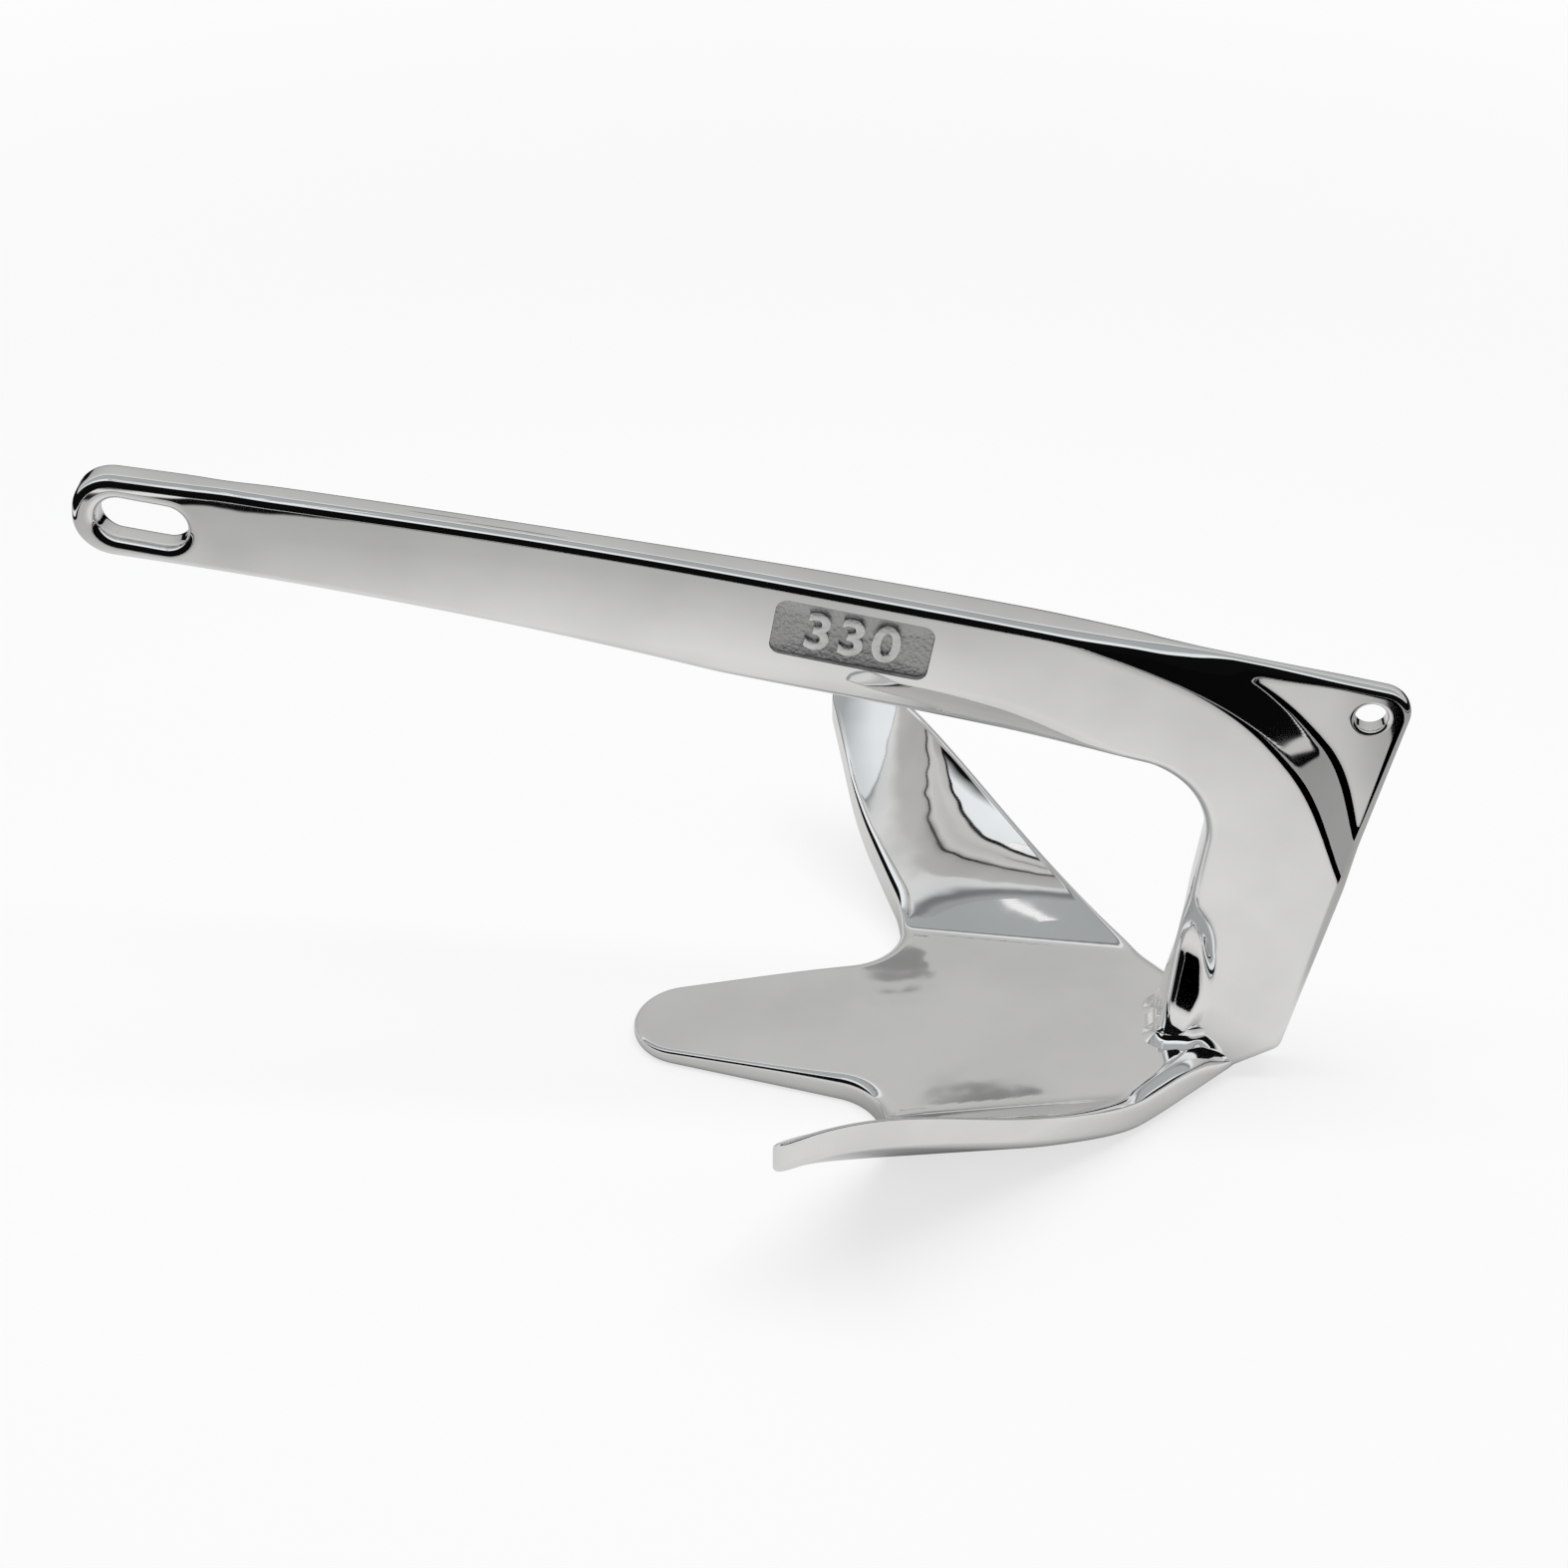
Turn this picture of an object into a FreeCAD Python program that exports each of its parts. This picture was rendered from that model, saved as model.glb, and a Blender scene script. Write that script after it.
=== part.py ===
"""Claw anchor, one piece of cast and polished stainless steel.

A flat shank with a slotted eye at its far end bends round a C-shaped throat
into a wide arm, stiffened by a thin corner web with a trip-line hole. The
arm ends in the crown of a claw with three lobes: a level centre fluke and
two side flukes that are turned up like a scoop.

Frame in millimetres: X runs from the eye to the crown, Z is up, and the
anchor is symmetric about the plane Y = 0. It stands on its flat sole, Z = 0.
"""
import FreeCAD, Part
import Sketcher
import math
import os

Vec = FreeCAD.Vector
doc = FreeCAD.newDocument("claw_anchor")

SIZES = [
    # Corners of the side outline of shank, arm and corner web
    ("eye_top_x", -164.6), ("eye_top_z", 173.0),
    ("eye_low_x", -167.2), ("eye_low_z", 149.9),
    ("corner_x", 168.4), ("corner_z", 124.9),
    ("heel_x", 143.2), ("heel_z", 6.5),
    ("throat_x", 120.9), ("throat_z", 98.3),
    ("belly_x", -5.9), ("belly_z", 122.6),
    ("keel_x", 133.0), ("keel_z", 3.2),
    ("arm_foot_x", 109.0), ("arm_foot_z", 4.0),
    ("back_radius", 3500.0), ("belly_radius", 1400.0),
    ("throat_radius", 22.0), ("corner_radius", 8.0),
    ("heel_radius", 3.0), ("eye_radius", 10.6),
    # Thickness of the plate, which grows from the eye to the beam round the throat
    ("beam_thick", 11.4), ("eye_thick", 8.4), ("web_thick", 5.8),
    ("taper_start", -70.0), ("taper_end", 70.0),
    # Corner web: its curved border and the smooth step that leads down to it
    ("web_centre_x", 34.1), ("web_centre_z", 21.9),
    ("beam_past_throat", 14.4), ("web_step", 9.0),
    # Slot, trip-line hole and recessed panel, whose depth counts from the beam's side
    ("slot_x", -148.5), ("slot_z", 158.9),
    ("slot_length", 22.8), ("slot_width", 11.4), ("slot_tilt", 9.0),
    ("trip_inset", 11.4), ("trip_drop", 6.9), ("trip_radius", 4.0),
    ("panel_x", 27.8), ("panel_z", 136.0), ("panel_length", 40.0),
    ("panel_height", 16.0), ("panel_depth", 1.0), ("panel_tilt", 9.5),
    ("panel_corner", 3.0),
    ("edge_round", 2.6), ("slot_bevel", 1.4), ("trip_bevel", 0.9),
    # Plan outline of the claw: corners and the arcs that round them
    ("nose_x", -30.5), ("nose_radius", 14.5), ("flank_angle", 12.5),
    ("notch_x", 49.5), ("notch_radius", 16.0),
    ("brow_x", 25.3), ("brow_y", 68.0), ("brow_radius", 80.0),
    ("tip_front_x", 14.0), ("tip_rear_x", 24.0), ("tip_y", 100.0), ("tip_radius", 5.0),
    ("crown_x", 137.0), ("crown_y", 6.0), ("crown_radius", 5.0),
    # Top of the claw: palm, folds and flukes
    ("palm_height", 6.4), ("palm_rise", 3.94),
    ("fold_front_x", 18.0), ("fold_front_y", 42.7), ("fold_front_angle", 38.9),
    ("fold_rear_x", 110.0), ("fold_rear_y", 29.2), ("fold_rear_angle", 20.8),
    ("fold_half", 6.0), ("curl_rear", 1.38),
    # Thickness of the claw, and how far its underside is ground off to a flat sole
    ("palm_thick", 13.0), ("fold_thick", 10.0), ("fluke_thick", 8.2), ("sole_cut", 0.3),
    # Flare where the arm grows out of the palm
    ("root_height", 24.0), ("root_rear_height", 8.0), ("root_spread", 5.5), ("root_end", 141.0),
]

sheet = doc.addObject("Spreadsheet::Sheet", "sizes")
for row, (name, value) in enumerate(SIZES, start=1):
    sheet.set("A%d" % row, name)
    sheet.set("B%d" % row, str(value))
    sheet.setAlias("B%d" % row, name)
doc.recompute()
S = {name: float(sheet.get(name)) for name, value in SIZES}

# Cutting sketches reach this far past the metal
CLEAR = 12.0
# The web is cut from the level of its centre up to this angle, in degrees
WEB_SWEEP = 80.0


def new_sketch(body, name, role):
    """A sketch on one of the body's own origin planes."""
    sketch = body.newObject("Sketcher::SketchObject", name)
    plane = [f for f in body.Origin.OriginFeatures if f.Role == role][0]
    sketch.AttachmentSupport = (plane, [""])
    sketch.MapMode = "FlatFace"
    return sketch


def bind(sketch, constraint, expression):
    """Add a constraint and tie its value to the sheet."""
    index = sketch.addConstraint(constraint)
    sketch.setExpression("Constraints[%d]" % index, expression)


def pin(sketch, geo, pos, across, up):
    """Place a sketch point; across and up are (value, expression) pairs."""
    bind(sketch, Sketcher.Constraint("DistanceX", -1, 1, geo, pos, across[0]), across[1])
    bind(sketch, Sketcher.Constraint("DistanceY", -1, 1, geo, pos, up[0]), up[1])


def sized(name):
    """(value, expression) of one size."""
    return S[name], "sizes." + name


def line(start, end):
    """(edge, position of its start, position of its end) in a sketch."""
    return Part.LineSegment(start, end), 1, 2


def arc(start, end, radius, left):
    """Arc from start to end that bulges to the left or right of its way.

    A sketch stores every arc counterclockwise, so one that bulges to the
    left starts at its second point.
    """
    way = (end - start).normalize()
    side = Vec(-way.y, way.x, 0) * (1 if left else -1)
    half = start.distanceToPoint(end) / 2
    rise = radius - math.sqrt(max(radius ** 2 - half ** 2, 0))
    edge = Part.Arc(start, (start + end) * 0.5 + side * rise, end)
    return (edge, 2, 1) if left else (edge, 1, 2)


def closed_outline(sketch, edges, smooth=()):
    """Add edges end to end; returns (index, start, end) of each.

    The edges numbered in smooth run tangent into the next one.
    """
    first = len(sketch.Geometry)
    sketch.addGeometry([edge[0] for edge in edges], False)
    placed = [(first + i, edge[1], edge[2]) for i, edge in enumerate(edges)]
    for i, (here, after) in enumerate(zip(placed, placed[1:] + placed[:1])):
        kind = "Tangent" if i in smooth else "Coincident"
        sketch.addConstraint(Sketcher.Constraint(kind, here[0], here[2], after[0], after[1]))
    return placed


def edges_like(shape, test):
    """Names of the edges that pass a test."""
    return ["Edge%d" % (i + 1) for i, edge in enumerate(shape.Edges) if test(edge)]


def across_plate(edge, x, z):
    """True for an edge along Y at this place of the side outline."""
    middle = edge.CenterOfMass
    flat = edge.BoundBox.XLength < 0.01 and edge.BoundBox.ZLength < 0.01
    return flat and abs(middle.x - x) < 0.1 and abs(middle.z - z) < 0.1


def check_cut(before, after):
    """A cut that points away from the metal removes nothing."""
    if not after < before - 0.001:
        raise RuntimeError("a cut removed nothing")


# Shank, arm and web: one plate cut to the side outline

body = doc.addObject("PartDesign::Body", "shank")
outline = new_sketch(body, "side_outline", "XZ_Plane")
corners = ["eye_top", "corner", "heel", "keel", "arm_foot", "throat", "belly", "eye_low"]
points = [Vec(S[name + "_x"], S[name + "_z"], 0) for name in corners]
edges = []
for name, start, end in zip(corners, points, points[1:] + points[:1]):
    if name == "eye_top":
        edges.append(arc(start, end, S["back_radius"], True))
    elif name == "belly":
        edges.append(arc(start, end, S["belly_radius"], False))
    else:
        edges.append(line(start, end))
placed = closed_outline(outline, edges)
for name, (index, start, end) in zip(corners, placed):
    pin(outline, index, start, sized(name + "_x"), sized(name + "_z"))
for name, radius in (("eye_top", "back_radius"), ("belly", "belly_radius")):
    index = placed[corners.index(name)][0]
    bind(outline, Sketcher.Constraint("Radius", index, S[radius]), "sizes." + radius)

plate = body.newObject("PartDesign::Pad", "plate")
plate.Profile = outline
plate.SideType = "Symmetric"
plate.setExpression("Length", "sizes.beam_thick")
doc.recompute()


def round_corners(body, name, radius, places):
    """Fillet of the plate's corners, seen from the side."""
    base = body.Tip
    fillet = body.newObject("PartDesign::Fillet", name)
    found = edges_like(base.Shape, lambda edge: any(
        across_plate(edge, S[place + "_x"], S[place + "_z"]) for place in places))
    fillet.Base = (base, found)
    fillet.setExpression("Radius", "sizes." + radius)
    doc.recompute()
    return fillet


round_corners(body, "throat", "throat_radius", ["throat"])
round_corners(body, "corner", "corner_radius", ["corner"])
round_corners(body, "heel", "heel_radius", ["heel"])
round_corners(body, "eye_end", "eye_radius", ["eye_top", "eye_low"])


# The plate is thinner towards the eye


def step_edges(first_x, first_y, last_x, last_y):
    """Two equal arcs that lead smoothly from one level to the next."""
    run = last_x - first_x
    rise = last_y - first_y
    radius = (run ** 2 + rise ** 2) / (4 * abs(rise))
    start, end = Vec(first_x, first_y, 0), Vec(last_x, last_y, 0)
    middle = (start + end) * 0.5
    return [arc(start, middle, radius, rise < 0), arc(middle, end, radius, rise > 0)]


def thinning_sketch(side):
    """Region outside the shank in plan, on one side of it."""
    sketch = new_sketch(body, "plan_" + ("right" if side < 0 else "left"), "XY_Plane")
    sign = "-" if side < 0 else ""
    eye_y, beam_y = ((side * S[key] / 2, sign + "sizes.%s / 2" % key) for key in ("eye_thick", "beam_thick"))
    far_x = (S["eye_low_x"] - CLEAR, "sizes.eye_low_x - %g" % CLEAR)
    far_y = (side * (S["beam_thick"] / 2 + CLEAR), sign + "(sizes.beam_thick / 2 + %g)" % CLEAR)
    start_x, end_x = sized("taper_start"), sized("taper_end")
    half_x = ((start_x[0] + end_x[0]) / 2, "(%s + %s) / 2" % (start_x[1], end_x[1]))
    half_y = ((eye_y[0] + beam_y[0]) / 2, "(%s + %s) / 2" % (eye_y[1], beam_y[1]))
    stops = [(far_x, eye_y), (start_x, eye_y), (half_x, half_y), (end_x, beam_y),
             (end_x, far_y), (far_x, far_y)]
    where = [Vec(across[0], up[0], 0) for across, up in stops]
    edges = [line(where[0], where[1])]
    edges += step_edges(start_x[0], eye_y[0], end_x[0], beam_y[0])
    edges += [line(where[3], where[4]), line(where[4], where[5]), line(where[5], where[0])]
    placed = closed_outline(sketch, edges, smooth=(0, 1))
    for (index, start, end), (across, up) in zip(placed, stops):
        pin(sketch, index, start, across, up)
    return sketch


for side in (-1, 1):
    sketch = thinning_sketch(side)
    before = body.Tip.Shape.Volume
    pocket = body.newObject("PartDesign::Pocket", "thinning_" + ("right" if side < 0 else "left"))
    pocket.Profile = sketch
    pocket.Type = "ThroughAll"
    pocket.SideType = "Symmetric"
    doc.recompute()
    check_cut(before, pocket.Shape.Volume)


# The corner web is thinner than the beam that curves round the throat


def web_reach(name, more):
    """Distance of a corner of the outline from the web's centre, and more; value and rule."""
    across, up = ("sizes.%s_%s - sizes.web_centre_%s" % (name, axis, axis) for axis in "xz")
    span = math.hypot(S[name + "_x"] - S["web_centre_x"], S[name + "_z"] - S["web_centre_z"])
    return span + more[0], "sqrt((%s) ^ 2 + (%s) ^ 2) + %s" % (across, up, more[1])


def web_sketch(side):
    """Section of what is cut away beside the web; it turns round the web's centre."""
    sketch = new_sketch(body, "web_section_" + ("right" if side < 0 else "left"), "XY_Plane")
    sketch.setExpression("AttachmentOffset.Base.x", "sizes.web_centre_x")
    sketch.setExpression("AttachmentOffset.Base.z", "sizes.web_centre_z")
    border = web_reach("throat", sized("beam_past_throat"))
    near, half, far = ((border[0] + share * S["web_step"] / 2, border[1] + " + %d * sizes.web_step / 2" % share)
                       for share in (-1, 0, 1))
    rim = web_reach("corner", (CLEAR, "%g" % CLEAR))
    sign = "-" if side < 0 else ""
    beam_y, web_y = ((side * S[key] / 2, sign + "sizes.%s / 2" % key) for key in ("beam_thick", "web_thick"))
    half_y = ((beam_y[0] + web_y[0]) / 2, "(%s + %s) / 2" % (beam_y[1], web_y[1]))
    far_y = (side * (S["beam_thick"] / 2 + CLEAR), sign + "(sizes.beam_thick / 2 + %g)" % CLEAR)
    stops = [(near, beam_y), (half, half_y), (far, web_y), (rim, web_y), (rim, far_y), (near, far_y)]
    where = [Vec(across[0], up[0], 0) for across, up in stops]
    edges = step_edges(near[0], beam_y[0], far[0], web_y[0])
    edges += [line(a, b) for a, b in zip(where[2:], where[3:] + where[:1])]
    placed = closed_outline(sketch, edges, smooth=(0, 1))
    for (index, start, end), (across, up) in zip(placed, stops):
        pin(sketch, index, start, across, up)
    return sketch


for side in (-1, 1):
    before = body.Tip.Shape.Volume
    profile = web_sketch(side)
    groove = body.newObject("PartDesign::Groove", "web_" + ("right" if side < 0 else "left"))
    groove.Profile = profile
    groove.ReferenceAxis = (profile, ["V_Axis"])
    groove.Angle = WEB_SWEEP
    groove.Reversed = True
    doc.recompute()
    check_cut(before, groove.Shape.Volume)

# Slot of the eye and trip-line hole


def tilted(x, z, tilt, along, across):
    """A point along and across a direction that falls by a tilt; values and rules.

    Each of along and across is a (value, expression) pair.
    """
    angle = math.radians(S[tilt])
    turn = "sizes.%s * 1 deg" % tilt
    value_x = S[x] + along[0] * math.cos(angle) + across[0] * math.sin(angle)
    value_z = S[z] - along[0] * math.sin(angle) + across[0] * math.cos(angle)
    rule_x = "sizes.%s + (%s) * cos(%s) + (%s) * sin(%s)" % (x, along[1], turn, across[1], turn)
    rule_z = "sizes.%s - (%s) * sin(%s) + (%s) * cos(%s)" % (z, along[1], turn, across[1], turn)
    return (value_x, rule_x), (value_z, rule_z)


def halved(name, sign):
    return sign * S[name] / 2, "%d * sizes.%s / 2" % (sign, name)


def place_of(point):
    return Vec(point[0][0], point[1][0], 0)


slot = new_sketch(body, "slot_outline", "XZ_Plane")
half_run = (S["slot_length"] - S["slot_width"]) / 2
run_rule = "(sizes.slot_length - sizes.slot_width) / 2"
slot_points = []
for end, up in ((-1, -1), (1, -1), (1, 1), (-1, 1)):
    along = (end * half_run, "%d * %s" % (end, run_rule))
    slot_points.append(tilted("slot_x", "slot_z", "slot_tilt", along, halved("slot_width", up)))
spots = [place_of(point) for point in slot_points]
end_radius = S["slot_width"] / 2
placed = closed_outline(slot, [line(spots[0], spots[1]), arc(spots[1], spots[2], end_radius, False),
                               line(spots[2], spots[3]), arc(spots[3], spots[0], end_radius, False)],
                        smooth=(0, 2))
for (index, start, end), point in zip(placed, slot_points):
    pin(slot, index, start, point[0], point[1])

trip = new_sketch(body, "trip_outline", "XZ_Plane")
trip_across = (S["corner_x"] - S["trip_inset"], "sizes.corner_x - sizes.trip_inset")
trip_up = (S["corner_z"] - S["trip_drop"], "sizes.corner_z - sizes.trip_drop")
trip.addGeometry([Part.Circle(Vec(trip_across[0], trip_up[0], 0), Vec(0, 0, 1), S["trip_radius"])], False)
pin(trip, 0, 3, trip_across, trip_up)
bind(trip, Sketcher.Constraint("Radius", 0, S["trip_radius"]), "sizes.trip_radius")

for name, sketch in (("slot", slot), ("trip_hole", trip)):
    before = body.Tip.Shape.Volume
    pocket = body.newObject("PartDesign::Pocket", name)
    pocket.Profile = sketch
    pocket.Type = "ThroughAll"
    pocket.SideType = "Symmetric"
    doc.recompute()
    check_cut(before, pocket.Shape.Volume)

# Recessed panel on the right side

panel = new_sketch(body, "panel_outline", "XZ_Plane")
panel.setExpression("AttachmentOffset.Base.z", "sizes.beam_thick / 2 - sizes.panel_depth")
panel_points = [tilted("panel_x", "panel_z", "panel_tilt", halved("panel_length", end), halved("panel_height", up))
                for end, up in ((-1, -1), (1, -1), (1, 1), (-1, 1))]
spots = [place_of(point) for point in panel_points]
placed = closed_outline(panel, [line(a, b) for a, b in zip(spots, spots[1:] + spots[:1])])
for (index, start, end), point in zip(placed, panel_points):
    pin(panel, index, start, point[0], point[1])
before = body.Tip.Shape.Volume
recess = body.newObject("PartDesign::Pocket", "panel")
recess.Profile = panel
recess.Reversed = True
recess.setExpression("Length", "sizes.beam_thick")
doc.recompute()
check_cut(before, recess.Shape.Volume)

base = body.Tip
panel_fillet = body.newObject("PartDesign::Fillet", "panel_corners")
panel_fillet.Base = (base, edges_like(base.Shape, lambda edge: any(
    across_plate(edge, spot.x, spot.y) for spot in spots)))
panel_fillet.setExpression("Radius", "sizes.panel_corner")
doc.recompute()

# Rounded edges all round the outline, the slot and the hole

base = body.Tip
rims = base.Shape.slice(Vec(0, 1, 0), 0)
rims.sort(key=lambda wire: -wire.Length)


def on_rim(wire):
    """A test for the edges that run along one rim of the plate."""
    def test(edge):
        middle = edge.valueAt((edge.FirstParameter + edge.LastParameter) / 2)
        if edge.BoundBox.YLength > 3:
            return False
        spot = Part.Vertex(Vec(middle.x, 0, middle.z))
        return abs(middle.y) > 1 and spot.distToShape(wire)[0] < 0.01
    return test


# How the rims are eased: name, kind, its property and its size
EASING = (("outline_edges", "Fillet", "Radius", "edge_round"), ("slot_edges", "Chamfer", "Size", "slot_bevel"),
          ("trip_edges", "Chamfer", "Size", "trip_bevel"))
for (name, kind, rule, size), rim in zip(EASING, rims):
    base = body.Tip
    easing = body.newObject("PartDesign::" + kind, name)
    easing.Base = (base, edges_like(base.Shape, on_rim(rim)))
    easing.setExpression(rule, "sizes." + size)
    doc.recompute()

# Claw: one sheet with a level palm in the middle, folded up to a fluke on each side

# Rows of the sheet, from the middle out; they lie closer where it folds
REACHES = (0, 8, 16, 22, 27, 32, 36, 40, 45, 50, 56, 64, 74, 85, 96, 108)
COLUMNS = 7
# The sheet is made this much larger than the claw, then trimmed to its rim
MARGIN = 14.0
# From this reach to that one the palm's thickness turns into the fold's
PALM_END, FOLD_END = 20.0, 48.0
SLOPE_STEPS = 60
PROBE = 0.05
# Section of the rim, a face between two bevels: share of the thickness, distance inside the outline
RIM = ((-0.15, 1.9), (0.13, 0.2), (0.78, 0.2), (1.15, 3.4))
PATCH_SPANS = 8
# Rings of the root's flare, how deep it starts in the palm, how far it sinks into the arm, its taper
ROOT_ROWS, ROOT_POINTS = 5, 18
ROOT_DEPTH, ROOT_BITE, ROOT_CORE, ROOT_TAPER = 4.0, 0.35, 2.2, 0.5
# Spacing of the rim's points on straight runs (mm) and on arcs (degrees)
RUN_STEP, TURN_STEP = 9.0, 16.0


def eased(share):
    """Share of a change, from 0 to 1, that starts and ends level."""
    share = min(max(share, 0), 1)
    return share * share * (3 - 2 * share)


def claw_top(x, y):
    """Height of the claw's top: palm, then a fold, then a fluke that curls up."""
    share = (x - S["fold_front_x"]) / (S["fold_rear_x"] - S["fold_front_x"])
    fold = S["fold_front_y"] + (S["fold_rear_y"] - S["fold_front_y"]) * share
    angle = S["fold_front_angle"] + (S["fold_rear_angle"] - S["fold_front_angle"]) * share
    height = S["palm_height"] + math.tan(math.radians(S["palm_rise"])) * x
    width = 2 * S["fold_half"]
    step = max(abs(y) - fold + S["fold_half"], 0) / SLOPE_STEPS
    for i in range(SLOPE_STEPS):
        past = (i + 0.5) * step
        slope = angle * eased(past / width) + S["curl_rear"] * share * max(past - width, 0)
        height += math.tan(math.radians(slope)) * step
    return height


def claw_thickness(x, y):
    palm = S["palm_height"] + math.tan(math.radians(S["palm_rise"])) * x + S["sole_cut"]
    palm = min(palm, S["palm_thick"])
    outward = eased((abs(y) - FOLD_END) / (S["tip_y"] - FOLD_END))
    side = S["fold_thick"] + (S["fluke_thick"] - S["fold_thick"]) * outward
    return palm + (side - palm) * eased((abs(y) - PALM_END) / (FOLD_END - PALM_END))


def claw_point(x, y, share):
    """A point under (x, y) of the top, at a share of the thickness, square to the sheet."""
    along = (claw_top(x + PROBE, y) - claw_top(x - PROBE, y)) / (2 * PROBE)
    across = (claw_top(x, y + PROBE) - claw_top(x, y - PROBE)) / (2 * PROBE)
    inward = Vec(along, across, -1).normalize()
    return Vec(x, y, claw_top(x, y)) + inward * (share * claw_thickness(x, y))


def sheet_rows(share):
    """Rows of points over the whole sheet, which is wider than the claw all round."""
    rows = []
    for y in [-reach for reach in REACHES[:0:-1]] + list(REACHES):
        out = abs(y) / S["tip_y"]
        front = S["nose_x"] - MARGIN + (S["tip_front_x"] - S["nose_x"]) * out ** 2
        rear = S["crown_x"] + MARGIN * 1.4 - (S["crown_x"] - S["tip_rear_x"]) * out
        spots = [front + (rear - front) * i / (COLUMNS - 1) for i in range(COLUMNS)]
        rows.append([claw_point(x, y, share) for x in spots])
    return rows


def marks_of(points):
    """How far along a chain of points each of them lies, from 0 to 1."""
    marks = [0.0]
    for start, end in zip(points, points[1:]):
        marks.append(marks[-1] + start.distanceToPoint(end))
    return [mark / marks[-1] for mark in marks]


def curve_through(points, marks, closed=False):
    curve = Part.BSplineCurve()
    curve.interpolate(Points=points, Parameters=marks, PeriodicFlag=closed)
    return curve


def spline_faces(ribs, row, knots, multiplicities, degree=3, closed=False):
    """Faces from the poles of their ribs; row is one of the curves that cross them.

    A long surface is split into patches of a few spans each.
    """
    surface = Part.BSplineSurface()
    surface.buildFromPolesMultsKnots(ribs, row.getMultiplicities(), multiplicities,
                                     row.getKnots(), knots, closed, False, 3, degree)
    ends = [u for i, u in enumerate(row.getKnots()) if i % PATCH_SPANS == 0]
    rungs = [v for i, v in enumerate(knots) if i % PATCH_SPANS == 0]
    for stops, last in ((ends, row.getKnots()[-1]), (rungs, knots[-1])):
        if stops[-1] < last:
            stops.append(last)
    faces = []
    for u, next_u in zip(ends, ends[1:]):
        for v, next_v in zip(rungs, rungs[1:]):
            patch = surface.copy()
            patch.segment(u, next_u, v, next_v)
            faces.append(patch.toShape())
    return faces


def skin(grid):
    """Smooth face through rows of points."""
    across = marks_of(grid[len(grid) // 2])
    along = marks_of([row[len(row) // 2] for row in grid])
    rows = [curve_through(row, across) for row in grid]
    ribs = [curve_through([row.getPole(i + 1) for row in rows], along)
            for i in range(rows[0].NbPoles)]
    return spline_faces([rib.getPoles() for rib in ribs], rows[0],
                        ribs[0].getKnots(), ribs[0].getMultiplicities())


def rounded_path(corners):
    """Edges through plan corners (x, y, radius), with a tangent arc at each inner one."""
    edges = []
    start = Vec(corners[0][0], corners[0][1], 0)
    for (x, y, radius), (next_x, next_y, _) in zip(corners[1:-1], corners[2:]):
        corner = Vec(x, y, 0)
        back = (start - corner).normalize()
        ahead = (Vec(next_x, next_y, 0) - corner).normalize()
        half = back.getAngle(ahead) / 2
        run = radius / math.tan(half)
        first, last = corner + back * run, corner + ahead * run
        middle = corner + (back + ahead).normalize() * (radius / math.sin(half) - radius)
        if first.distanceToPoint(start) > PROBE:
            edges.append(Part.makeLine(start, first))
        edges.append(Part.Arc(first, middle, last).toShape())
        start = last
    edges.append(Part.makeLine(start, Vec(corners[-1][0], corners[-1][1], 0)))
    return edges


def claw_outline():
    """(point, outward direction) all round the claw in plan, from the nose."""
    slant = math.radians(S["flank_angle"])
    centre_x = S["nose_x"] + S["nose_radius"]
    flank_y = [(x - centre_x) * math.tan(slant) + S["nose_radius"] / math.cos(slant)
               for x in (S["nose_x"], S["notch_x"])]
    corners = [(S["nose_x"], 0, 0), (S["nose_x"], flank_y[0], S["nose_radius"]),
               (S["notch_x"], flank_y[1], S["notch_radius"]),
               (S["brow_x"], S["brow_y"], S["brow_radius"]),
               (S["tip_front_x"], S["tip_y"], S["tip_radius"]),
               (S["tip_rear_x"], S["tip_y"], S["tip_radius"]),
               (S["crown_x"], S["crown_y"], S["crown_radius"]), (S["crown_x"], 0, 0)]
    half = []
    for edge in rounded_path(corners):
        steps = int(edge.Length / RUN_STEP) + 1
        if isinstance(edge.Curve, Part.Circle):
            steps = int(math.degrees(edge.Length / edge.Curve.Radius) / TURN_STEP) + 2
        first, last = edge.ParameterRange
        for i in range(steps):
            mark = first + (last - first) * i / steps
            way = edge.tangentAt(mark)
            half.append((edge.valueAt(mark), Vec(-way.y, way.x, 0)))
    half.append((Vec(S["crown_x"], 0, 0), Vec(1, 0, 0)))
    mirrored = [(Vec(spot.x, -spot.y, 0), Vec(out.x, -out.y, 0)) for spot, out in half[-2:0:-1]]
    return half + mirrored


def closed_solid(faces):
    shell = Part.Shell(faces)
    shell.sewShape()
    solid = Part.Solid(shell)
    if solid.Volume < 0:
        solid.reverse()
    return solid


def border(faces):
    """Edges that belong to only one of the faces, in order of the faces."""
    edges = [edge for face in faces for edge in face.Edges]
    spots = [edge.valueAt((edge.FirstParameter + edge.LastParameter) / 2) for edge in edges]
    return [edge for edge, spot in zip(edges, spots)
            if sum(spot.distanceToPoint(other) < PROBE for other in spots) == 1]


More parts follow.
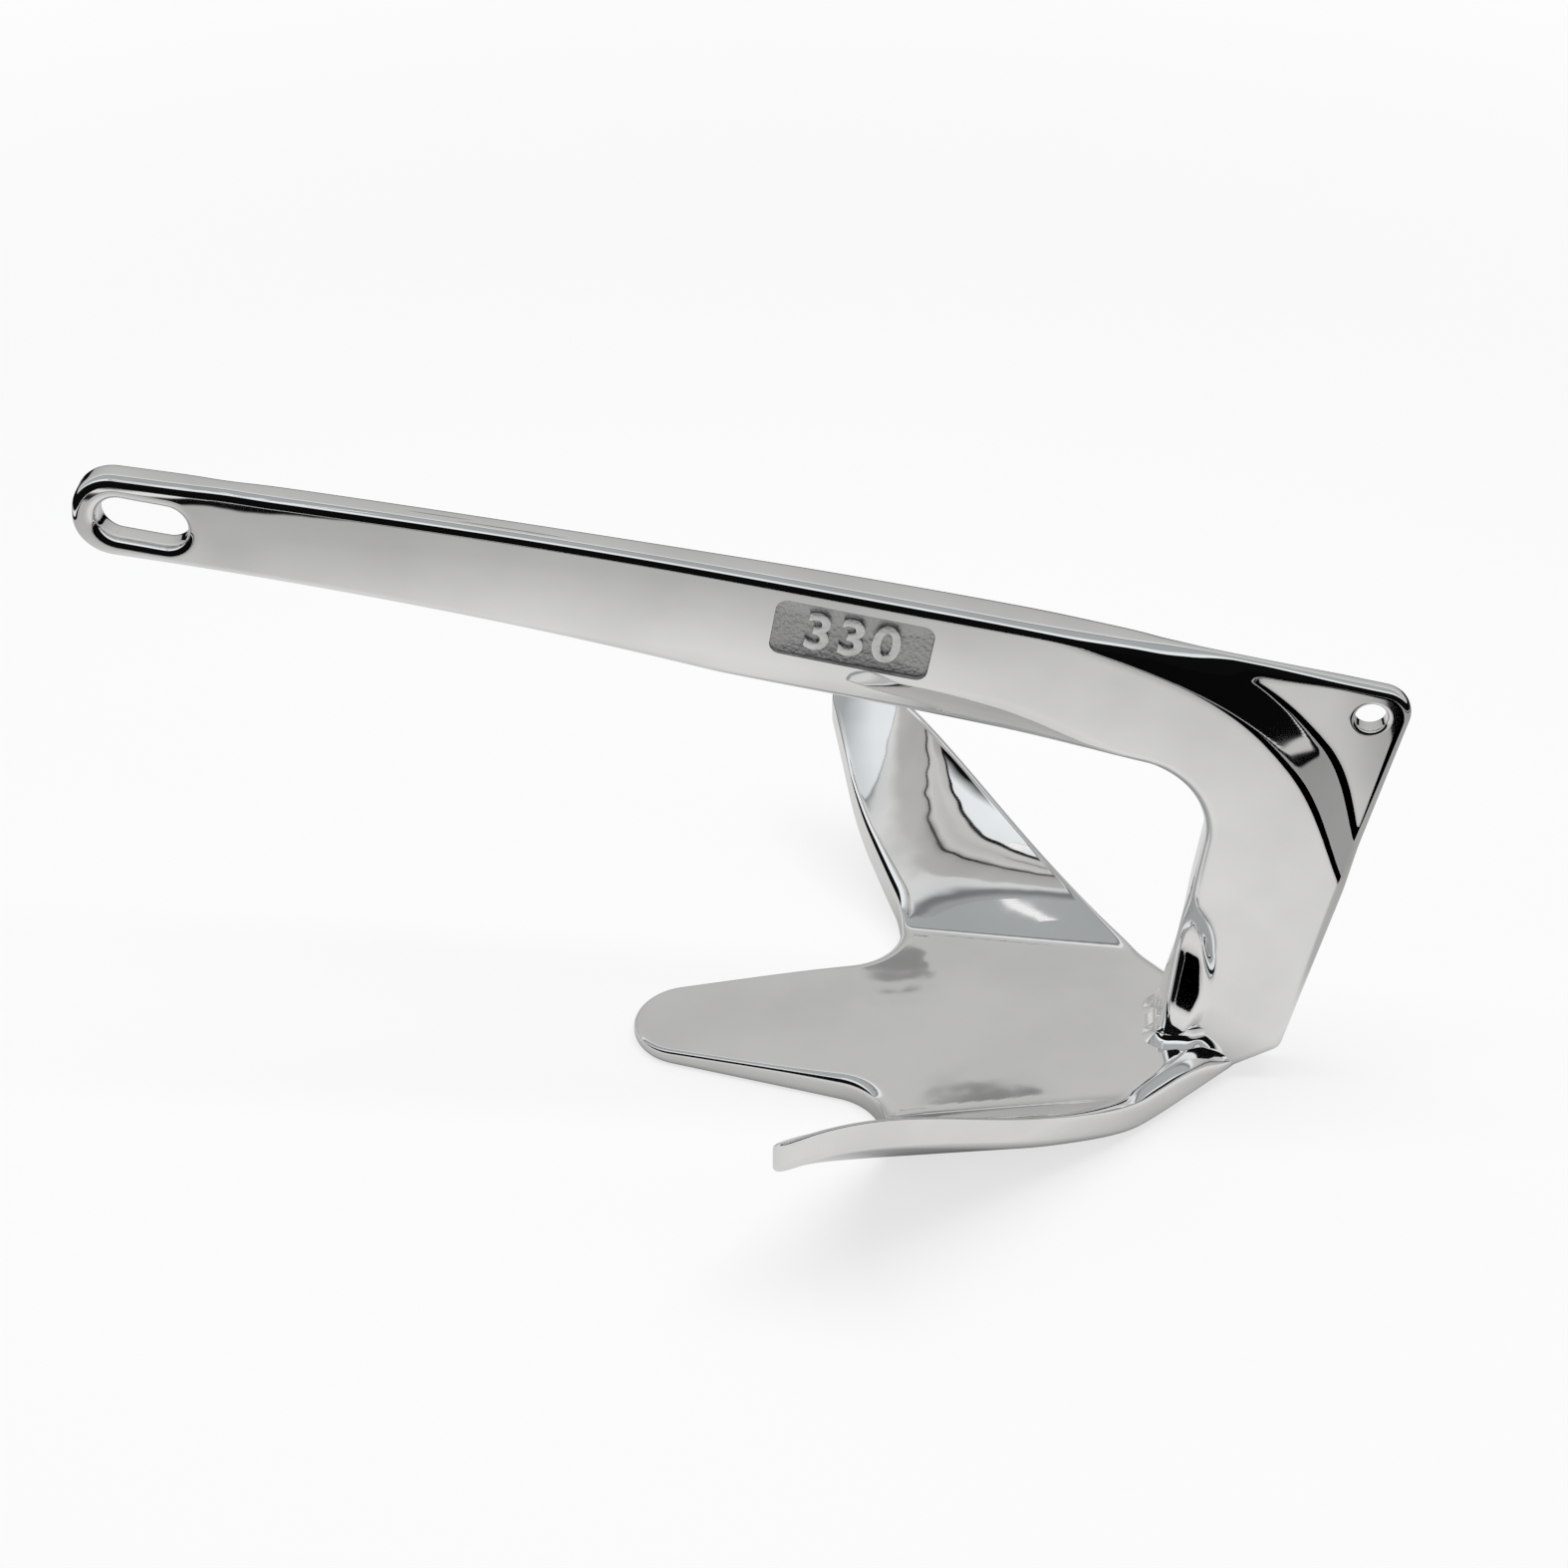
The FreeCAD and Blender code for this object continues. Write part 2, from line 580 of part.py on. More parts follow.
def claw_shape():
    """The sheet, cut to the claw's outline by a wall that rounds its rim."""
    top, under = skin(sheet_rows(0)), skin(sheet_rows(1))
    sides = [Part.makeRuledSurface(a, b) for a, b in zip(border(top), border(under))]
    sheet_solid = closed_solid(top + under + sides)
    outline = claw_outline()
    marks = marks_of([spot for spot, out in outline + outline[:1]])
    loops = []
    for share, tuck in RIM:
        spots = [spot - out * tuck for spot, out in outline]
        points = [claw_point(spot.x, spot.y, share) for spot in spots]
        loops.append(curve_through(points, marks, closed=True))
    bands = []
    for loop, next_loop in zip(loops, loops[1:]):
        ribs = [[loop.getPole(i + 1), next_loop.getPole(i + 1)] for i in range(loop.NbPoles)]
        bands += spline_faces(ribs, loop, [0, 1], [2, 2], degree=1, closed=True)
    wall = Part.Shell(bands)
    wall.sewShape()
    pieces = sheet_solid.generalFuse([wall])[0].Solids
    inside = Vec(S["notch_x"], 0, S["palm_height"])
    return [piece for piece in pieces if piece.isInside(inside, PROBE, True)][0]


def root_ring(share):
    """One section of the root's flare: a blunt oval that narrows to the rear.

    The flare is highest at the front of the arm. Its first ring lies in the
    palm and its last in the arm, both of them flat.
    """
    lean = (S["throat_x"] - S["arm_foot_x"]) / (S["throat_z"] - S["arm_foot_z"])
    rise = math.tan(math.radians(S["palm_rise"]))
    ring = []
    for i in range(ROOT_POINTS):
        turn = math.pi + 2 * math.pi * i / ROOT_POINTS
        along = math.copysign(math.sqrt(abs(math.cos(turn))), math.cos(turn))
        across = math.copysign(math.sqrt(abs(math.sin(turn))), math.sin(turn))
        rearward = (1 + along) / 2
        top = S["root_height"] + (S["root_rear_height"] - S["root_height"]) * rearward
        height = (top + ROOT_DEPTH) * share - ROOT_DEPTH
        spread = S["root_spread"] * (1 - max(height, 0) / top) ** 2 - ROOT_BITE
        if share > 1:
            height = S["root_height"] + ROOT_DEPTH
            spread = -ROOT_CORE
        level = S["palm_height"] + rise * S["arm_foot_x"] + height
        front = S["arm_foot_x"] + lean * (level - S["arm_foot_z"]) - spread
        x = front + (S["root_end"] - front) * rearward
        half = (S["beam_thick"] / 2 + spread) * (1 - ROOT_TAPER * rearward ** 2)
        ring.append(Vec(x, half * across, level + rise * (x - S["arm_foot_x"])))
    return ring


def root_shape():
    """Flare that leads the arm's sides and front edge into the palm."""
    rings = [root_ring(i / (ROOT_ROWS - 1)) for i in range(ROOT_ROWS + 1)]
    marks = marks_of(rings[0] + rings[0][:1])
    loops = [curve_through(ring, marks, closed=True) for ring in rings]
    along = [i / ROOT_ROWS for i in range(ROOT_ROWS + 1)]
    ribs = [curve_through([loop.getPole(i + 1) for loop in loops], along)
            for i in range(loops[0].NbPoles)]
    flare = spline_faces([rib.getPoles() for rib in ribs], loops[0],
                         ribs[0].getKnots(), ribs[0].getMultiplicities(), closed=True)
    rims = border(flare)
    middle = sum(edge.CenterOfMass.z for edge in rims) / len(rims)
    low = [edge for edge in rims if edge.CenterOfMass.z < middle]
    high = [edge for edge in rims if edge.CenterOfMass.z > middle]
    caps = [Part.Face(Part.Wire(Part.sortEdges(edges)[0])) for edges in (low, high)]
    return closed_solid(flare + caps)


claw = doc.addObject("Part::Feature", "claw")
claw.Shape = claw_shape()
root = doc.addObject("Part::Feature", "root")
root.Shape = root_shape()

# One casting: shank and claw together, ground flat underneath

joined = doc.addObject("Part::MultiFuse", "joined")
joined.Shapes = [body, claw, root]
ground = doc.addObject("Part::Box", "ground")
ground.setExpression("Length", "sizes.corner_x - sizes.eye_low_x + %g" % (4 * CLEAR))
ground.setExpression("Width", "2 * sizes.tip_y + %g" % (4 * CLEAR))
ground.setExpression("Height", "%g" % (2 * CLEAR))
ground.setExpression("Placement.Base.x", "sizes.eye_low_x - %g" % (2 * CLEAR))
ground.setExpression("Placement.Base.y", "-sizes.tip_y - %g" % (2 * CLEAR))
ground.setExpression("Placement.Base.z", "-%g" % (2 * CLEAR))
anchor = doc.addObject("Part::Cut", "anchor")
anchor.Base = joined
anchor.Tool = ground
anchor.Label = "anchor"
doc.recompute()

for item in doc.Objects:
    if "Invalid" in item.State or "Error" in item.State:
        raise RuntimeError("%s is not right: %s" % (item.Name, item.State))
shape = anchor.Shape
if shape.isNull() or not shape.isValid() or len(shape.Solids) != 1:
    raise RuntimeError("the anchor is not one valid solid")
os.makedirs("parts", exist_ok=True)
shape.exportStep("parts/%s.step" % anchor.Label)
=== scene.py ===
"""Looks of a claw anchor: one casting of stainless steel, polished to a mirror."""
import bpy
import math
import numpy as np
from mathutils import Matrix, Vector


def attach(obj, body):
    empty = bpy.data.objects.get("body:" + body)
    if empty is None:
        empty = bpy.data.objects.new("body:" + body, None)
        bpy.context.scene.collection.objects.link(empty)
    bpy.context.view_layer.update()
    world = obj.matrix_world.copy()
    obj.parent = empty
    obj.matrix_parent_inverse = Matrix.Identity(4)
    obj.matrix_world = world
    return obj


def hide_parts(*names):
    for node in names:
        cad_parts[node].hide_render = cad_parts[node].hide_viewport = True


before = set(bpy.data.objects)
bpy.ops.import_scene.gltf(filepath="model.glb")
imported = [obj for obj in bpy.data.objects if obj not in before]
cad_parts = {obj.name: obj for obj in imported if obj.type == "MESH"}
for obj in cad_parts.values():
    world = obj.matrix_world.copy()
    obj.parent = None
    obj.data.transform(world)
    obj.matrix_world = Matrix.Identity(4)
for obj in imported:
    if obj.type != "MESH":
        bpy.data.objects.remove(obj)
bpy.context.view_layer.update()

# Millimetres to metres
MM = 0.001

# The photograph's camera: where it looks and from which side, and its lens and sensor in millimetres
TARGET = Vector((0.0105, 0.0, 0.0865))
AZIMUTH, ELEVATION = math.radians(5.0), math.radians(36.7)
DISTANCE, CLIP_END = 0.8641, 100.0
LENS, SENSOR = 77.08, 36.0

# Brightness of the room over an arch from before the object (0) up and over it to behind (1)
ARCH = ((0.0, 0.004), (0.25, 0.004), (0.265, 1.0), (0.33, 0.92), (0.38, 0.44), (0.57, 0.44), (0.595, 0.25),
        (0.61, 0.25), (0.63, 0.85), (0.66, 0.85), (0.69, 0.58), (0.80, 0.54), (1.0, 0.40))
# The light from the front and overhead is cooler than the light from behind
COOL, COOL_END, WARM_START = (0.93, 0.97, 1.0), 0.60, 0.70
# The soft lamp overhead: its place, width and height, and its power
LAMP_PLACE, LAMP_WIDTH, LAMP_HEIGHT, LAMP_POWER = (0.0, 0.0, 1.2), 1.4, 0.5, 12.0
# Light strips over the front of the object, from and to (x, y), their height and width
STRIPS = (((-0.18, -0.22), (-0.28, -0.58)), ((-0.10, -0.08), (-0.21, -0.58)))
STRIP_HEIGHT, STRIP_WIDTH = 0.9, 0.014
# Small lamps in each strip, their mean brightness and how far it swings from one to the next
LAMPS_IN_ROW, LAMP_LEVEL, LAMP_SWING = 40, 1.0, 0.6
# Round grey boards at the same height: x from and to, y from and to, and their brightness
BOARDS = ((-0.43, -0.25, -0.60, -0.45), (-0.157, -0.107, 1.09, 1.135), (-0.106, -0.026, 0.935, 0.98))
BOARD_LEVEL = 0.25

# Paper on the floor: its size and how pale it is
FLOOR_SIZE, FLOOR_PALE = 30.0, 0.8
# Painted pool of light on the floor, which only the metal mirrors: distance in metres, level; past its bright
# middle it turns to painted dark, with a thin painted bright ring
FLOOR_POOL = ((0.0, 0.60), (0.10, 0.70), (0.16, 0.75), (0.24, 0.60), (0.32, 0.50), (0.425, 0.46),
              (0.437, 0.004), (0.472, 0.004), (0.478, 0.85), (0.502, 0.85), (0.508, 0.004))
# How much the painted pool of light is dimmed, as painted shade, beyond the object's rear, and between which
# x
POOL_DIM, DIM_START, DIM_END = 0.68, 0.165, 0.185
# A black patch painted into the floor's pool of light by the arm, which the metal mirrors as a painted dark
# reflection: its middle and half its size along x and y
DARK_PATCH_X, DARK_PATCH_WIDE, DARK_PATCH_Y, DARK_PATCH_DEEP = 0.2215, 0.0385, -0.23, 0.14
# How far painted contact shade darkens the pool of light near where the object stands, in metres
CONTACT_REACH = 0.02
# Share of the floor that shows the object's shadow, and where that share starts to fade and is gone
SHADOW_SHARE, SHADOW_NEAR, SHADOW_FAR = 0.3, 0.35, 0.95

# Colour of the steel, and between which heights of the clouds it turns lighter and rougher
STEEL_TINT = (1.0, 0.995, 0.982)
LIGHTER, ROUGHER = (0.3, 0.7), (0.35, 0.75)
# Cloud and grain size, least and most lightness, least and most roughness, bump's source and depth
FINISHES = {"mirror_polish": (28.0, 600.0, (0.82, 0.90), (0.02, 0.06), "Clouds", 0.0001),
            "cast_matte": (90.0, 900.0, (0.50, 0.62), (0.36, 0.46), "Grain", 0.0003),
            "raised_number": (90.0, 900.0, (0.74, 0.84), (0.24, 0.34), "Grain", 0.0001)}
CLOUD_DETAIL, GRAIN_DETAIL = 3.0, 5.0

# From here on sizes are in millimetres.
# Corners of the side outline, anticlockwise from the eye: x, z, radius, rise of the run that follows
SIDE = ((-167.2, 149.9, 10.6, 2.4), (-5.9, 122.6, 60.0, 0.0), (120.9, 98.3, 22.0, 0.0),
        (109.0, 2.0, 2.0, 0.0), (128.5, 1.0, 3.0, 0.0), (143.9, 10.5, 4.0, 0.0),
        (168.4, 124.9, 8.0, -4.04), (-164.6, 173.0, 10.6, 0.0))

# Thickness of the plate from the eye to the beam round the throat, and of the corner web
EYE_THICK, BEAM_THICK, WEB_THICK = 8.4, 11.4, 5.2
TAPER_START, TAPER_END = -70.0, 70.0
# Centre and radius of the web's border, the width of its step, and the least x at which it starts
WEB_CENTRE, WEB_BORDER, WEB_STEP = (34.1, 21.9), 137.0, 13.5
WEB_FRONT, WEB_EASE = 22.0, 0.24
# How much nearer the border is at the top, and between which angles it comes nearer
WEB_NEARER, NEARER_START, NEARER_END = 6.5, math.radians(42), math.radians(68)
# How much nearer and steeper the step is low down, and between which angles it turns so
WEB_LOWER, LOWER_START, LOWER_END = 5.0, math.radians(38), math.radians(22)
# How much the sides of the shank are crowned, the share of it at the middle, and where it dies away
CROWN, CROWN_SHARE, CROWN_END, CROWN_GONE = 0.7, 0.6, 40.0, 110.0
# Ground lower edge of the shank: where it starts, is widest and ends, its width and slope at the edge
SOFT_START, SOFT_FULL, SOFT_END, SOFT_WIDTH, SOFT_TILT = -25.0, 62.0, 112.0, 12.0, 0.40
# Shallow hollow beside the eye's ring: depth, place, reach and how it fades towards the lower edge
HOLLOW, HOLLOW_PLACE, HOLLOW_REACH, HOLLOW_FADE = 0.4, -127.0, 7.0, 1.2
# Rounding of the plate's edges at the eye, along the beam and round the web
EYE_ROUND, BEAM_ROUND, WEB_ROUND = 2.4, 3.0, 2.3
ROUND_START, ROUND_RUN = -60.0, 130.0
# How much wider the web's top edge is rounded, where that grows and fades, and above which height
TOP_SOFT, TOP_START, TOP_GROWTH, TOP_END, TOP_FADE, TOP_LEVEL = 2.6, 95.0, 25.0, 128.0, 24.0, 110.0
# Least flat part of half the plate's thickness, and least width of the ground edge
LEAST_FLAT, LEAST_SOFT = 0.3, 0.01

# Slot of the eye, and the place where its ring ends and the shank begins
SLOT_CENTRE, SLOT_TILT = (-148.5, 158.9), math.radians(9.0)
SLOT_LENGTH, SLOT_WIDTH, SLOT_ROUND = 22.8, 11.4, 2.9
RING_END = -130.0
# Trip-line hole, and how far from its lip the plate's own cells begin
TRIP_CENTRE, TRIP_RADIUS, TRIP_ROUND, TRIP_MARGIN = (157.0, 118.0), 4.0, 1.1, 1.2

# Recessed panel on the shank, and its wall from the floor outwards: inset from the border, height
PANEL_CENTRE, PANEL_TILT = (27.8, 136.0), math.radians(9.5)
PANEL_LENGTH, PANEL_HEIGHT, PANEL_FLOOR, PANEL_CORNER = 40.0, 16.0, 4.8, 3.0
PANEL_WALL = ((0.5, 0.0), (0.2, 0.1), (0.05, 0.35), (0.0, 4.0))
NUMBER, NUMBER_SIZE, NUMBER_WEIGHT, NUMBER_DEPTH = "330", 14.5, 0.25, 0.5
NUMBER_SPACING, NUMBER_BEVEL = 1.18, 0.18

# Plan outline of the claw's half: x, y, radius
PLAN = ((-30.5, 0.0, 0.0), (-30.5, 11.418, 14.5), (49.5, 29.152, 16.0), (25.3, 68.0, 80.0),
        (14.0, 100.0, 5.0), (24.0, 100.0, 5.0), (102.0, 35.3, 60.0), (132.5, 4.5, 2.0),
        (132.5, 0.0, 0.0))
# Top of the claw: height of the palm and its rise, and the fold's x, y and angle at front and rear
PALM_HEIGHT, PALM_RISE = 6.4, math.radians(3.94)
FOLD_FRONT, FOLD_REAR = (18.0, 42.7, 38.9), (110.0, 29.2, 20.8)
FOLD_WIDTH, CURL_REAR = 4.5, 1.38
# Thickness of the palm, the fold and the fluke's tip, and where one turns into the next
PALM_THICK, FOLD_THICK, TIP_THICK, SOLE_CUT = 13.0, 10.8, 9.6, 0.3
PALM_END, FOLD_END, TIP_END = 20.0, 48.0, 100.0
# Where the palm turns down behind the arm, and how fast
DROP_START, DROP_RUN, CROWN_DROP = 114.5, 16.0, 0.033
# Where the sole turns up under the arm, and its slope
HEEL_START, HEEL_SLOPE = 126.5, 0.66
# Rounding of the claw's rim, over and under, and how much softer it is in the notches
RIM_OVER, RIM_UNDER, NOTCH_SOFT, NOTCH_REACH = 1.4, 2.4, 2.0, 20.0
# How much softer it is towards the crown, where that starts, and the least wall that is left
CROWN_SOFT, CROWN_SOFT_START, CROWN_SOFT_RUN, LEAST_WALL = 3.5, 80.0, 40.0, 0.4

# Swelling at the arm's foot and the hollow ground above it, and the heights where they turn
ROOT_SWELL, ROOT_SCOOP, SWELL_END, SCOOP_FULL, SCOOP_END = 3.4, 3.2, 22.0, 48.0, 64.0
ROOT_EASE, ROOT_LEAN = 0.24, 0.6
# How far they reach behind the front edge, at which height most, and the width of their side
ROOT_WIDE, ROOT_MIDDLE, ROOT_NARROWING, ROOT_SIDE, SIDE_GROWTH = 10.0, 35.0, 0.0095, 5.0, 0.6
# Fillet round the arm's foot, the corners at its rear, and how far above the palm's nose it stands
FOOT_HEIGHT, FOOT_SLOPE, FOOT_BITE, FOOT_DEPTH, FOOT_END = 4.5, 1.9, 0.15, 4.0, 20.0
FOOT_CORNER, FOOT_RISE = 1.0, 8.0

# Cells of the meshes: along the shank, round the throat, down the arm and across the plate
SHANK_CELLS, BEND_CELLS, ARM_CELLS, ACROSS_CELLS = 120, 60, 80, 64
# Where the back's cells turn into the web's, by x, and the web's into the arm's, by z
BACK_BEND, REAR_BEND = 112.0, 84.0
# How far past the throat's bend its cells reach, as a share of the bend
BEND_LEAD = 0.1
# Share of the plate's length over which its cells turn to follow the foot's edge
FOOT_LEAD = 0.12
QUARTER_CELLS, RING_CELLS = 9, 8
FLANK_CELLS, PALM_CELLS, NOSE_CELLS, FLUKE_CELLS, WALL_CELLS = 50, 60, 26, 64, 4
FILLET_AROUND, FILLET_ROWS, PANEL_AROUND, NUMBER_CELLS = 320, 19, 144, 2
# Steps of the searches, of the fold's slope, and places along the shank's edges
SEARCHES, SLOPE_STEPS, EDGE_PLACES = 40, 60, 60
# How near two points are one, in metres, and how near the middle plane a point lies on it
SEAM, SEAM_REACH = 0.00001, 0.1
# Greatest angle in degrees over which the shading is smooth, on the casting and on the number
SMOOTH_ANGLE, NUMBER_ANGLE = 40, 30


def deselect():
    """Object mode with nothing selected."""
    if bpy.context.object and bpy.context.object.mode != "OBJECT":
        bpy.ops.object.mode_set(mode="OBJECT")
    bpy.ops.object.select_all(action="DESELECT")


def pick(piece):
    """One piece selected and active."""
    deselect()
    piece.select_set(True)
    bpy.context.view_layer.objects.active = piece


def smooth(share):
    """Share of a change, from 0 to 1, that starts and ends level."""
    share = np.clip(share, 0, 1)
    return share * share * (3 - 2 * share)


def step(share):
    """The same change, made of two equal arcs."""
    share = np.clip(share, 0, 1)
    return np.where(share < 0.5, 2 * share ** 2, 1 - 2 * (1 - share) ** 2)


def ramped(share, ease):
    """The same change as a straight ramp with eased ends."""
    share = np.clip(share, 0, 1)
    steep = 1 / (1 - ease)
    low = steep * share ** 2 / (2 * ease)
    high = 1 - steep * (1 - share) ** 2 / (2 * ease)
    middle = steep * (share - ease / 2)
    return np.where(share < ease, low, np.where(share > 1 - ease, high, middle))


def turned(way):
    """A direction turned a quarter to the left."""
    return np.array((-way[1], way[0]))


class Outline:
    """Runs with rounded corners, walked by their length; its outside is on the right."""

    def __init__(self, corners, closed):
        """Corners are x, y, radius, and where a run bows, its rise."""
        places = [np.array(corner[:2], float) for corner in corners]
        count = len(places)
        runs = []
        for i in range(count if closed else count - 1):
            start, end = places[i], places[(i + 1) % count]
            rise = corners[i][3] if len(corners[i]) > 3 else 0.0
            runs.append((start, end, rise))
        ends = [[0.0, 1.0] for run in runs]
        arcs = {}
        for i in range(count):
            before, after = i - 1, i
            if not closed and i in (0, count - 1):
                continue
            radius = corners[i][2]
            way_in = self.run_way(runs[before], 1.0)
            way_out = self.run_way(runs[after], 0.0)
            turn = math.atan2(way_in[0] * way_out[1] - way_in[1] * way_out[0], way_in @ way_out)
            trim = radius * math.tan(abs(turn) / 2)
            ends[before][1] = 1 - trim / np.linalg.norm(runs[before][1] - runs[before][0])
            ends[after][0] = trim / np.linalg.norm(runs[after][1] - runs[after][0])
            hand = 1 if turn > 0 else -1
            centre = places[i] - way_in * trim + turned(way_in) * hand * radius
            first = math.atan2(*(-turned(way_in) * hand)[::-1])
            arcs[i] = (centre, radius, first, turn)
        self.parts = []
        for i, run in enumerate(runs):
            if i in arcs:
                self.parts.append(("arc", arcs[i], abs(arcs[i][3]) * arcs[i][1]))
            length = (ends[i][1] - ends[i][0]) * np.linalg.norm(run[1] - run[0])
            self.parts.append(("run", (run, ends[i]), length))
        self.marks = np.concatenate([[0.0], np.cumsum([part[2] for part in self.parts])])
        self.length = self.marks[-1]

    @staticmethod
    def run_way(run, share):
        """Direction of a run, which may bow, at a share of it."""
        start, end, rise = run
        way = end - start
        way = way + turned(way / np.linalg.norm(way)) * 4 * rise * (1 - 2 * share)
        return way / np.linalg.norm(way)

    def at(self, mark):
        """Place and outward direction at a length from the start."""
        mark = mark % self.length if mark > self.length + 1e-9 else mark
        i = min(int(np.searchsorted(self.marks, mark, side="right")) - 1, len(self.parts) - 1)
        kind, data, length = self.parts[i]
        share = (mark - self.marks[i]) / length
        if kind == "arc":
            centre, radius, first, turn = data
            angle = first + turn * share
            spoke = np.array((math.cos(angle), math.sin(angle)))
            return centre + radius * spoke, spoke * (1 if turn > 0 else -1)
        run, (low, high) = data
        share = low + (high - low) * share
        start, end, rise = run
        way = end - start
        place = start + way * share + turned(way / np.linalg.norm(way)) * 4 * rise * share * (1 - share)
        return place, -turned(self.run_way(run, share))

    def walk(self, marks):
        """Places and outward directions at many lengths."""
        found = [self.at(mark) for mark in marks]
        return np.array([place for place, out in found]), np.array([out for place, out in found])

    def corner(self, number, share=0.5):
        """Length at which a corner's arc is crossed."""
        arcs = [i for i, part in enumerate(self.parts) if part[0] == "arc"]
        return self.marks[arcs[number]] + share * self.parts[arcs[number]][2]

    def crossing(self, test, low, high):
        """Length at which a test turns from true to false."""
        for i in range(SEARCHES):
            middle = (low + high) / 2
            if test(self.at(middle)[0]):
                low = middle
            else:
                high = middle
        return (low + high) / 2


def spread(*stops):
    """Marks through stops, given as first mark, then (cells, next mark) in turn."""
    marks = [np.array([stops[0]])]
    for cells, mark in stops[1:]:
        marks.append(np.linspace(marks[-1][-1], mark, cells + 1)[1:])
    return np.concatenate(marks)


side = Outline(SIDE, closed=True)
LOW_RUN = side.walk(np.linspace(side.corner(0, 1.0), side.corner(2, 0.0), EDGE_PLACES))[0]
BACK_RUN = side.walk(np.linspace(side.corner(6, 1.0), side.corner(7, 0.0), EDGE_PLACES))[0][::-1]


def web_share(spots):
    """How far the beam has turned into the thin web, from 0 to 1."""
    x, z = spots[..., 0] - WEB_CENTRE[0], spots[..., 1] - WEB_CENTRE[1]
    nearer = WEB_NEARER * smooth((np.arctan2(z, x) - NEARER_START) / (NEARER_END - NEARER_START))
    lower = WEB_LOWER * smooth((np.arctan2(z, x) - LOWER_START) / (LOWER_END - LOWER_START))
    share = (np.hypot(x, z) - WEB_BORDER + nearer + lower) / (WEB_STEP - lower) + 0.5
    return np.where(x > WEB_FRONT, ramped(share, WEB_EASE), 0)


def root_width(height):
    """How far the swelling and the scoop at the arm's foot reach behind its front edge."""
    return ROOT_WIDE - ROOT_NARROWING * (height - ROOT_MIDDLE) ** 2


def root_scoop(spots):
    """The arm's side swells at its foot, and is ground hollow above along its front edge."""
    x, z = spots[..., 0], spots[..., 1]
    throat, foot = SIDE[2], SIDE[3]
    front = foot[0] + (throat[0] - foot[0]) * (z - foot[1]) / (throat[1] - foot[1])
    z = z + ROOT_LEAN * np.clip(x - front, 0, ROOT_WIDE)
    side_width = ROOT_SIDE + SIDE_GROWTH * np.maximum(z - SCOOP_FULL, 0)
    reach = 1 - smooth((x - front - root_width(z)) / side_width + 0.5)
    sunk = ramped((z - SWELL_END) / (SCOOP_FULL - SWELL_END), ROOT_EASE)
    low = ROOT_SWELL - (ROOT_SWELL + ROOT_SCOOP) * sunk
    return reach * low * (1 - smooth((z - SCOOP_FULL) / (SCOOP_END - SCOOP_FULL)))


def plate_half(spots):
    """Half the plate's thickness at places of its side."""
    x, z = spots[..., 0], spots[..., 1]
    taper = step((x - TAPER_START) / (TAPER_END - TAPER_START))
    half = EYE_THICK / 2 + (BEAM_THICK - EYE_THICK) / 2 * taper
    low = np.interp(x, LOW_RUN[:, 0], LOW_RUN[:, 1])
    high = np.interp(x, BACK_RUN[:, 0], BACK_RUN[:, 1])
    off_middle = np.clip((2 * z - low - high) / (high - low), -1, 1)
    crown = CROWN * (1 - smooth((x - CROWN_END) / (CROWN_GONE - CROWN_END)))
    half = half + crown * (CROWN_SHARE - off_middle ** 2)
    # The lower edge is ground away softly in front of the throat
    soft = SOFT_WIDTH * smooth((x - SOFT_START) / (SOFT_FULL - SOFT_START))
    soft = soft * (1 - smooth((x - SOFT_FULL) / (SOFT_END - SOFT_FULL)))
    above = np.clip(z - low, 0, None)
    ground = np.clip(1 - above / np.maximum(soft, LEAST_SOFT), 0, 1)
    half = half - SOFT_TILT / 2 * soft * ground ** 2
    # A shallow hollow beside the eye's ring
    near = np.exp(-((x - HOLLOW_PLACE) / HOLLOW_REACH) ** 2)
    half = half - HOLLOW * near * smooth((off_middle + 1) / HOLLOW_FADE)
    return half + (WEB_THICK / 2 - half) * web_share(spots) + root_scoop(spots)


def edge_round(spots):
    """How wide the plate's edge is rounded at places of its side outline."""
    x, z = spots[..., 0], spots[..., 1]
    size = EYE_ROUND + (BEAM_ROUND - EYE_ROUND) * smooth((x - ROUND_START) / ROUND_RUN)
    size = size + (WEB_ROUND - size) * web_share(spots)
    softer = smooth((x - TOP_START) / TOP_GROWTH) * (1 - smooth((x - TOP_END) / TOP_FADE))
    return size + TOP_SOFT * softer * (z > TOP_LEVEL)


def lifted(spots, half):
    """Places (x, z) of the side with their half thickness, as points."""
    return np.stack([spots[..., 0], half, spots[..., 1]], axis=-1)


def patch(points, closed=False):
    """A grid whose vertices take the given places, in millimetres: rows, columns, 3."""
    if closed:
        points = np.concatenate([points, points[:, :1]], axis=1)
    rows, columns = points.shape[:2]
    deselect()
    bpy.ops.mesh.primitive_grid_add(x_subdivisions=columns - 1, y_subdivisions=rows - 1, size=1)
    piece = bpy.context.object
    piece.data.vertices.foreach_set("co", (points * MM).astype(np.float32).ravel())
    piece.data.update()
    return piece


def closed_up(piece):
    """Seams merged and faces turned outwards."""
    pick(piece)
    bpy.ops.object.mode_set(mode="EDIT")
    bpy.ops.mesh.select_all(action="SELECT")
    bpy.ops.mesh.remove_doubles(threshold=SEAM)
    bpy.ops.mesh.dissolve_degenerate(threshold=SEAM / 10)
    bpy.ops.mesh.normals_make_consistent(inside=False)
    bpy.ops.object.mode_set(mode="OBJECT")


